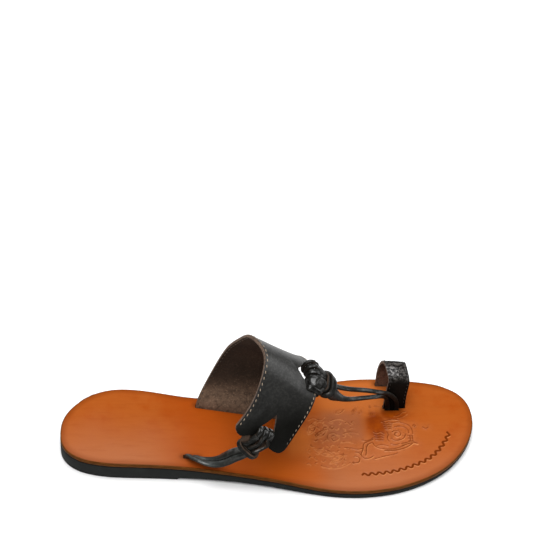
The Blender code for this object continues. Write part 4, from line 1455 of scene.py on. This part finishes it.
def tool(piece, sizes):
    """Press the ornament into the insole's top and store where it is, for the leather's colour."""
    points = corner_points(piece)
    on_top = points[:, 2] > sole_top(points[:, 0]) - 0.9
    depth = sizes.tooling_depth / MM
    fresh = flower() + stem()
    worn = worn_sprays() + stamped_ground() + inner_sprays()
    zig = [zigzag()]
    lines = distances(points, fresh, TOOL_REACH)
    faint = distances(points, worn, TOOL_REACH)
    raised = points + LIP_SIDE
    # the worn lines are rubbed away in patches
    patches = np.sin(0.62 * points[:, 0] + 2.0 * np.sin(0.41 * points[:, 1]))
    patches *= np.cos(0.57 * points[:, 1] + 1.5 * np.sin(0.43 * points[:, 0]))
    wear = 0.58 + 0.42 * patches
    groove = np.maximum(bump(lines, 0.0, LINE_WIDTH), 0.95 * wear * bump(faint, 0.0, WORN_WIDTH))
    stamp = bump(distances(points, zig, STAMP_REACH), 0.0, STAMP_WIDTH)
    lip = np.maximum.reduce([
        bump(distances(raised, fresh, TOOL_REACH), 0.0, LIP_WIDTH),
        (0.60 - 0.2 * wear) * bump(distances(raised, worn, TOOL_REACH), 0.0, LIP_WIDTH),
        bump(distances(raised, zig, STAMP_REACH), 0.0, STAMP_LIP_WIDTH),
    ])
    drop = depth * (groove - LIP_HEIGHT * lip * (1 - groove)) + STAMP_DEPTH * depth * stamp
    points[:, 2] -= np.where(on_top, drop + HOLLOW_DEPTH * spot(points, HOLLOW), 0.0)
    move_corners(piece, points)
    worked = np.maximum(bump(lines, 0.0, 3.0), 0.6 * bump(faint, 0.0, 3.0))
    worked *= 0.7 + 0.9 * bump(np.hypot(points[:, 0] - FLOWER[0], points[:, 1] - FLOWER[1]), 0.0, 9.0)
    stored = {
        "tooling": groove,
        "lip": lip * (1 - groove) * (1 - stamp),
        "worked": worked,
        "stamp": stamp,
        "stain": np.maximum(*[spot(points, row) for row in DARK_SPOTS]),
    }
    for name, values in stored.items():
        attribute(piece, name, np.where(on_top, values, 0.0))
    plan = along_points(whole_outline(), np.linspace(0, 1, 1600))
    attribute(piece, "rim", distances(points, [plan], RIM_REACH))
    attribute(piece, "slot", slot_shadow(points))


def whole_outline():
    """The whole outline of the sole in plan."""
    turn = np.linspace(0, math.pi, 400)
    outer, inner = sole_sides(LENGTH * (1 - np.cos(turn)) / 2)
    return np.vstack([outer, inner[::-1]])


def slot_shadow(points):
    """How much the leather beside each slot is darkened: a painted shadow where the straps go in."""
    lines = [curve([row.rear[:2], np.add(row.rear[:2], row.front[:2]) / 2, row.front[:2]])
             for row in (BAND_SECTIONS[1], TOE_SECTIONS[1])]
    lines += [curve([(slot.x + side * slot.length / 2, slot.y) for side in (-1, 0, 1)])
              for slot in (TAILS_SLOT, CORDS_SLOT)]
    return bump(distances(points, lines, TOOL_REACH), 0.0, 2.6)


def make_outsole(sizes, colours):
    """The black rubber unit with its low heel."""
    piece = sole_layer("outsole_unit", OUTSOLE_GRID, sole_underside, black_rubber(colours.rubber))
    count = len(piece.data.vertices)
    edit(piece)
    bpy.ops.mesh.extrude_region_move(TRANSFORM_OT_translate={"value": (0.0, 0.0, 0.004)})
    bpy.ops.mesh.select_all(action="SELECT")
    bpy.ops.mesh.normals_make_consistent(inside=False)
    leave_edit()
    points = corner_points(piece)
    joint = sole_top(points[:, 0]) - sizes.insole_wall / MM - LAYER_GAP
    upper = np.arange(len(points)) >= count
    points[:, 2] = np.where(upper, joint, sole_underside(points[:, 0]))
    move_corners(piece, points)
    round_edges(piece, OUTSOLE_ROUND, 2)
    shade(piece, 38.0)
    return piece


def band_end(across):
    """Where the band's free end lies on each line across."""
    short = np.interp(across, field(BAND_END, "across"), field(BAND_END, "short"))
    return Sheet(BAND_SECTIONS).length - short


def band_relief(along, across):
    """Creases of the band: troughs where the hitches pull and a slow wave along it."""
    back = Sheet(BAND_SECTIONS).length - along
    pull = 0.0
    for row in BAND_PULLS:
        pull = pull - row.depth * bump(back, row.back, row.length) * bump(across, row.across, row.width)
    return pull + 0.07 * np.sin(along / 9.0 + 4.0 * across) * bump(across, 0.5, 0.45)


def make_band(sizes, colours):
    """The instep band, with its lobes, holes and lining."""
    sheet = Sheet(BAND_SECTIONS)
    grain = grain_leather("band_grain", colours.strap, 0.40, 0.052, 0.077, 0.97, 0.12)
    lining = suede_leather("band_suede", colours.suede)
    edge = raw_edge("band_cut_edge", colours.cut_edge)
    piece = strap_solid("instep_band", sheet, band_end, BAND_GRID, sizes.band_wall, band_relief,
                        (grain, lining, edge), sizes.edge_round)
    take_away(piece, hole_cutter("side_hole", sheet, SIDE_HOLE, edge))
    take_away(piece, hole_cutter("front_hole", sheet, FRONT_HOLE, edge))
    shade(piece, 32.0)
    return piece


def make_band_stitches(sizes, colours):
    """Pale stitches along both long edges of the band."""
    sheet = Sheet(BAND_SECTIONS)
    wall = sizes.band_wall
    end = sheet.length
    threads = [waxed_thread("band_thread", colours.thread)]
    threads.append(waxed_thread("inner_thread", scaled(colours.thread, 0.3)))
    rear = seam("rear_seam", sheet, 0, 5.0, end - 9.0, sizes, wall, threads)
    front = seam("front_seam", sheet, 1, 5.0, end - 69.0, sizes, wall, threads)
    outer = seam("outer_seam", sheet, 1, end - 47.0, end - 7.0, sizes, wall, threads)
    return join("band_stitches", [rear, front, outer])


def make_toe_loop(sizes, colours):
    """The glossy loop for the big toe."""
    sheet = Sheet(TOE_SECTIONS)
    grain = grain_leather("loop_grain", scaled(colours.loop, 1.6), 0.22, 0.0325, 0.0362, 1.0, 0.8)
    lining = suede_leather("loop_suede", LOOP_LINING_TINT)
    edge = raw_edge("loop_cut_edge", scaled(colours.cut_edge, 1.1))

    def ends(across):
        return np.full(len(np.atleast_1d(across)), sheet.length)

    def relief(along, across):
        return 0.22 * bump(across, 0.5, 0.34) + 0.08 * np.sin(along / 3.1 + across * 3.0)

    piece = strap_solid("toe_loop_strap", sheet, ends, LOOP_GRID, sizes.toe_wall, relief,
                        (grain, lining, edge), sizes.edge_round)
    shade(piece, 32.0)
    return piece


def make_loop_stitches(sizes, colours):
    """Fine dull stitches along both edges of the toe loop."""
    sheet = Sheet(TOE_SECTIONS)
    threads = (waxed_thread("loop_thread", scaled(colours.thread, 0.18)),) * 2
    rows = []
    for name, side in (("loop_rear_seam", 0), ("loop_front_seam", 1)):
        rows.append(seam(name, sheet, side, 6.0, sheet.length - 6.0, sizes, sizes.toe_wall, threads))
    return join("loop_stitches", rows)


class Collar:
    """Middle and directions of the turn of thong that holds a hitch together."""

    def __init__(self, row):
        self.middle = np.array(row.middle, float)
        self.along = units(np.array(row.along))
        up = np.array(row.facing, float)
        self.up = units(up - self.along * up.dot(self.along))
        self.side = np.cross(self.along, self.up)
        self.width = row.width
        self.wall = row.wall

    def match(self, place):
        """Turn the sideways direction the same way as on the strap."""
        if np.dot(place(0, 1, 0) - place(0, -1, 0), self.side) < 0:
            self.side = -self.side

    def point(self, ahead, sideways, height):
        """A point from the collar's middle."""
        return self.middle + self.along * ahead + self.side * sideways + self.up * height


def strand_route(place, collar, strand, hitch):
    """Closed route of one strand: from the hole over the band's edge to the collar, and back underneath.

    place(inwards, sideways, height) is a point beside the edge, in millimetres from the band's outer face.
    """
    wall = HITCHED_WALL
    sideways, inside, hole_side, _, rise = strand
    reach = hitch.reach
    outer = sideways * hitch.splay
    over = [place(hole_side + 1.5, sideways, -wall / 2), place(hole_side + 0.9, sideways, 0.9),
            place(hole_side - 1.6, sideways, rise + 0.4), place(hole_side * 0.4, sideways, rise + 0.15),
            place(-0.6, outer, rise), place(-reach, outer * 0.97, rise - 0.5)]
    back = [place(-reach, outer * 0.97, -wall - rise + 0.5), place(-0.6, outer, -wall - rise),
            place(hole_side * 0.5, sideways, -wall - rise), place(hole_side, sideways, -wall - rise + 0.1),
            place(hole_side + 1.3, sideways, -wall - 0.9)]
    top = collar.point(-1.8, inside, 1.5)
    bottom = collar.point(-1.8, inside, -1.5)
    tip = collar.point(1.2, inside, 0.0)
    lift = collar.up * 0.4
    route = [*over, 0.5 * (over[-1] + top) + lift, top, tip, bottom, 0.5 * (back[0] + bottom) - lift, *back]
    points = smooth_loop(route, STRAND_STEPS)
    core = 0.25 * (over[3] + back[2]) + 0.25 * (top + bottom)
    return points, points - core


def make_hitch(name, place, collar, hitch, strands, wall, material):
    """The strands of one hitch side by side, closing up towards the collar."""
    made = []
    spread = np.ptp(field(strands, "inside")) / np.ptp(field(strands, "sideways"))
    for number, strand in enumerate(strands):
        points, facing = strand_route(place, collar, strand, hitch)
        nearness = bump(np.linalg.norm(points - collar.middle, axis=1), 0.0, COLLAR_REACH)
        widths = strand.width * (1 - (1 - min(spread, 1.0)) * nearness)
        made.append(sweep(f"{name}_{number}", points, facing, widths, wall, material, True, 0.7))
    return made


def make_collar(name, collar, turns, materials):
    """The doubled turn of thong round the tails."""
    made = []
    turn = np.linspace(0, 2 * math.pi, COLLAR_STEPS, endpoint=False)
    for number, (row, material) in enumerate(zip(turns, materials)):
        across = squared(np.cos(turn), 0.75) * (collar.width / 2 + row.outward)
        over = squared(np.sin(turn), 0.85) * (collar.wall / 2 + row.outward)
        shift = row.ahead + row.askew * np.cos(turn) + row.lean * np.sin(turn)
        away = collar.side * across[:, None] + collar.up * over[:, None]
        line = collar.middle + away + collar.along * shift[:, None]
        made.append(sweep(f"{name}_{number}", line, away, row.length, row.wall, material, True, 0.4))
    return made


def finish_thong(name, pieces):
    """One thong made of its strands, turns and tails."""
    piece = join(name, pieces)
    store_upward(piece)
    shade(piece, 60.0)
    return piece


def make_side_strap(sizes, colours):
    """The thong hitched through the band's outer hole, with its two tails down to their slot."""
    sheet = Sheet(BAND_SECTIONS)
    collar = Collar(SIDE_COLLAR)
    wall = sizes.thong_wall / MM
    width = sizes.tail_width / MM

    def by_side_edge(inwards, sideways, height):
        along = sheet.length - SIDE_HITCH.edge - inwards
        across = SIDE_HITCH.middle + sideways / sheet.width(along)
        return sheet.offset(along, across, height)[0]

    collar.match(by_side_edge)
    # the tails are the strap's colour made twice as light, a painted highlight
    leather = thong_leather("side_thong", colours, 0.2, 1.0, black=2.0, painted_highlight=0.9)
    strands = thong_leather("side_strand_thong", colours, 0.1, 0.9, polish=0.15)
    edges = thong_leather("side_collar_thong", colours, 0.9, 0.3, brown=0.8, edge_reach=0.8)
    pieces = make_hitch("side_strand", by_side_edge, collar, SIDE_HITCH, SIDE_STRANDS, wall, strands)
    pieces += make_collar("side_collar", collar, SIDE_TURNS, (edges, edges))
    turn = [by_side_edge(5.0, -7.0, -4.2), by_side_edge(1.0, -7.4, -3.4), by_side_edge(-2.0, -7.4, -2.2),
            collar.point(-3.6, -6.4, -0.4), collar.point(0.6, -5.4, 0.0)]
    line = smooth_line(turn, 24)
    pieces.append(sweep("side_turn", line, np.tile(-collar.up, (24, 1)), 5.4, 1.9, edges))
    line, up = curved(TAILS_ROUTE, TAIL_STEPS)
    side = units(np.cross(np.gradient(line, axis=0), up))
    taper = 1 - 0.12 * np.linspace(0, 1, TAIL_STEPS) ** 2
    for name, way in (("upper_tail", -1), ("lower_tail", 1)):
        middle = line + side * (way * width * 0.5 * taper)[:, None]
        pieces.append(sweep(name, middle, up, width * taper, wall, leather, squareness=1.0))
    return finish_thong("side_thong", pieces)


def make_front_strap(sizes, colours):
    """The thong hitched through the band's front hole, with its two tails to their slot."""
    sheet = Sheet(BAND_SECTIONS)
    collar = Collar(FRONT_COLLAR)
    wall = sizes.thong_wall / MM
    width = sizes.cord_width / MM

    def by_front_edge(inwards, sideways, height):
        along = sheet.length - FRONT_HITCH.middle - sideways
        across = 1.0 - inwards / sheet.width(along)
        return sheet.offset(along, across, height)[0]

    collar.match(by_front_edge)
    leather = thong_leather("front_thong", colours, 0.1, 1.0, dull_below=0.024, painted_highlight=0.42)
    edges = thong_leather("front_collar_thong", colours, 0.75, 0.3, brown=0.7, edge_reach=0.8)
    strands = thong_leather("front_strand_thong", colours, 0.1, 1.0, polish=0.13)
    pieces = make_hitch("front_strand", by_front_edge, collar, FRONT_HITCH, FRONT_STRANDS, wall, strands)
    pieces += make_collar("front_collar", collar, FRONT_TURNS, (edges, strands))
    share = np.linspace(0, 1, CORD_STEPS)
    thin = 1 - 0.35 * np.clip((share - 0.8) / 0.12, 0, 1)
    cords = (("upper_cord", UPPER_CORD_ROUTE, 0.1), ("lower_cord", LOWER_CORD_ROUTE, 3.1))
    for name, route, swell in cords:
        line, up = curved(route, CORD_STEPS)
        widths = width * (1 + swell * bump(share, 0.12, 0.14))
        pieces.append(sweep(name, line, up, widths, wall * thin, leather))
    return finish_thong("front_thong", pieces)


def soft_light(row, power, target):
    """One large flat light, turned towards a point, that the camera doesn't see itself."""
    deselect()
    bpy.ops.object.light_add(type="AREA", location=row.place)
    lamp = bpy.context.object
    lamp.name = row.name
    lamp.data.shape = "RECTANGLE"
    lamp.data.size = row.width
    lamp.data.size_y = row.height
    lamp.data.energy = power
    lamp.visible_camera = False
    way = Vector(target) - lamp.location
    lamp.rotation_euler = way.to_track_quat("-Z", "Y").to_euler()


def make_stage(settings):
    """Floor, lights and the camera at the photograph's angle."""
    low, high = CAD_BOX
    centre = (Vector(low) + Vector(high)) / 2
    deselect()
    bpy.ops.mesh.primitive_plane_add(size=8.0, location=(0.0, 0.0, low[2] - FLOOR_GAP))
    floor = bpy.context.object
    floor.name = "floor"
    bpy.ops.object.transform_apply(location=True, rotation=True, scale=True)
    floor.data.materials.append(plain_floor(settings.floor))
    powers = (settings.key_power, settings.fill_power, settings.side_power, settings.backdrop_power)
    for row, power in zip(LIGHTS, powers):
        soft_light(row, power, centre)
    world = bpy.data.worlds.new("studio")
    bpy.context.scene.world = world
    world.use_nodes = True
    background = world.node_tree.nodes["Background"]
    background.inputs["Color"].default_value = (1.0, 1.0, 1.0, 1.0)
    background.inputs["Strength"].default_value = settings.sky
    data = bpy.data.cameras.new("camera")
    data.sensor_width = SENSOR_WIDTH
    data.lens = LENS
    data.clip_start = 0.01
    camera = bpy.data.objects.new("camera", data)
    bpy.context.scene.collection.objects.link(camera)
    camera.location = CAMERA_PLACE
    camera.rotation_euler = Euler([math.radians(angle) for angle in CAMERA_TURN])
    bpy.context.scene.camera = camera
    bpy.context.scene.view_settings.view_transform = "Standard"


def add_piece(context, maker, node):
    """Make a piece and let it ride on the part, in the place of the CAD node if one is named."""
    piece = maker(context.scene.sandal_sizes, context.scene.sandal_colours)
    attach(piece, "root")
    if node:
        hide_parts(node)


class SANDAL_OT_stage(bpy.types.Operator):
    """Add the floor, the lights and the camera"""
    bl_idname = "sandal.stage"
    bl_label = "Stage"

    def execute(self, context):
        make_stage(context.scene.sandal_stage)
        return {"FINISHED"}


class SANDAL_OT_insole(bpy.types.Operator):
    """Model the tooled leather insole"""
    bl_idname = "sandal.insole"
    bl_label = "Insole"

    def execute(self, context):
        add_piece(context, make_insole, "insole")
        return {"FINISHED"}


class SANDAL_OT_outsole(bpy.types.Operator):
    """Model the rubber outsole"""
    bl_idname = "sandal.outsole"
    bl_label = "Outsole"

    def execute(self, context):
        add_piece(context, make_outsole, "outsole")
        return {"FINISHED"}


class SANDAL_OT_band(bpy.types.Operator):
    """Model the instep band and its stitches"""
    bl_idname = "sandal.band"
    bl_label = "Instep band"

    def execute(self, context):
        add_piece(context, make_band, "band")
        add_piece(context, make_band_stitches, None)
        return {"FINISHED"}


class SANDAL_OT_toe_loop(bpy.types.Operator):
    """Model the toe loop and its stitches"""
    bl_idname = "sandal.toe_loop"
    bl_label = "Toe loop"

    def execute(self, context):
        add_piece(context, make_toe_loop, "toe_loop")
        add_piece(context, make_loop_stitches, None)
        return {"FINISHED"}


class SANDAL_OT_side_strap(bpy.types.Operator):
    """Model the thong hitched to the outer side of the band"""
    bl_idname = "sandal.side_strap"
    bl_label = "Side thong"

    def execute(self, context):
        add_piece(context, make_side_strap, "side_strap")
        return {"FINISHED"}


class SANDAL_OT_front_strap(bpy.types.Operator):
    """Model the thong hitched to the front of the band"""
    bl_idname = "sandal.front_strap"
    bl_label = "Front thong"

    def execute(self, context):
        add_piece(context, make_front_strap, "front_strap")
        return {"FINISHED"}


OPERATORS = (
    SANDAL_OT_stage,
    SANDAL_OT_outsole,
    SANDAL_OT_insole,
    SANDAL_OT_band,
    SANDAL_OT_toe_loop,
    SANDAL_OT_side_strap,
    SANDAL_OT_front_strap,
)


class SANDAL_PT_pieces(bpy.types.Panel):
    """The sandal's pieces, sizes and colours"""
    bl_idname = "SANDAL_PT_pieces"
    bl_label = "Toe-loop sandal"
    bl_space_type = "VIEW_3D"
    bl_region_type = "UI"
    bl_category = "Sandal"

    def draw(self, context):
        layout = self.layout
        for operator in OPERATORS:
            layout.operator(operator.bl_idname)
        for group in (context.scene.sandal_sizes, context.scene.sandal_colours, context.scene.sandal_stage):
            box = layout.box()
            for name in group.bl_rna.properties.keys():
                if name not in ("rna_type", "name"):
                    box.prop(group, name)


CLASSES = (SandalSizes, SandalColours, StageSettings, *OPERATORS, SANDAL_PT_pieces)


def register():
    """Register the classes and hang the settings on the scene."""
    for item in CLASSES:
        bpy.utils.register_class(item)
    bpy.types.Scene.sandal_sizes = bpy.props.PointerProperty(type=SandalSizes)
    bpy.types.Scene.sandal_colours = bpy.props.PointerProperty(type=SandalColours)
    bpy.types.Scene.sandal_stage = bpy.props.PointerProperty(type=StageSettings)


def unregister():
    """Take the settings and the classes away again."""
    del bpy.types.Scene.sandal_stage
    del bpy.types.Scene.sandal_colours
    del bpy.types.Scene.sandal_sizes
    for item in reversed(CLASSES):
        bpy.utils.unregister_class(item)


def main():
    """Make every piece in order."""
    register()
    for operator in OPERATORS:
        getattr(bpy.ops.sandal, operator.bl_idname.split(".")[1])()


if __name__ == "__main__":
    main()
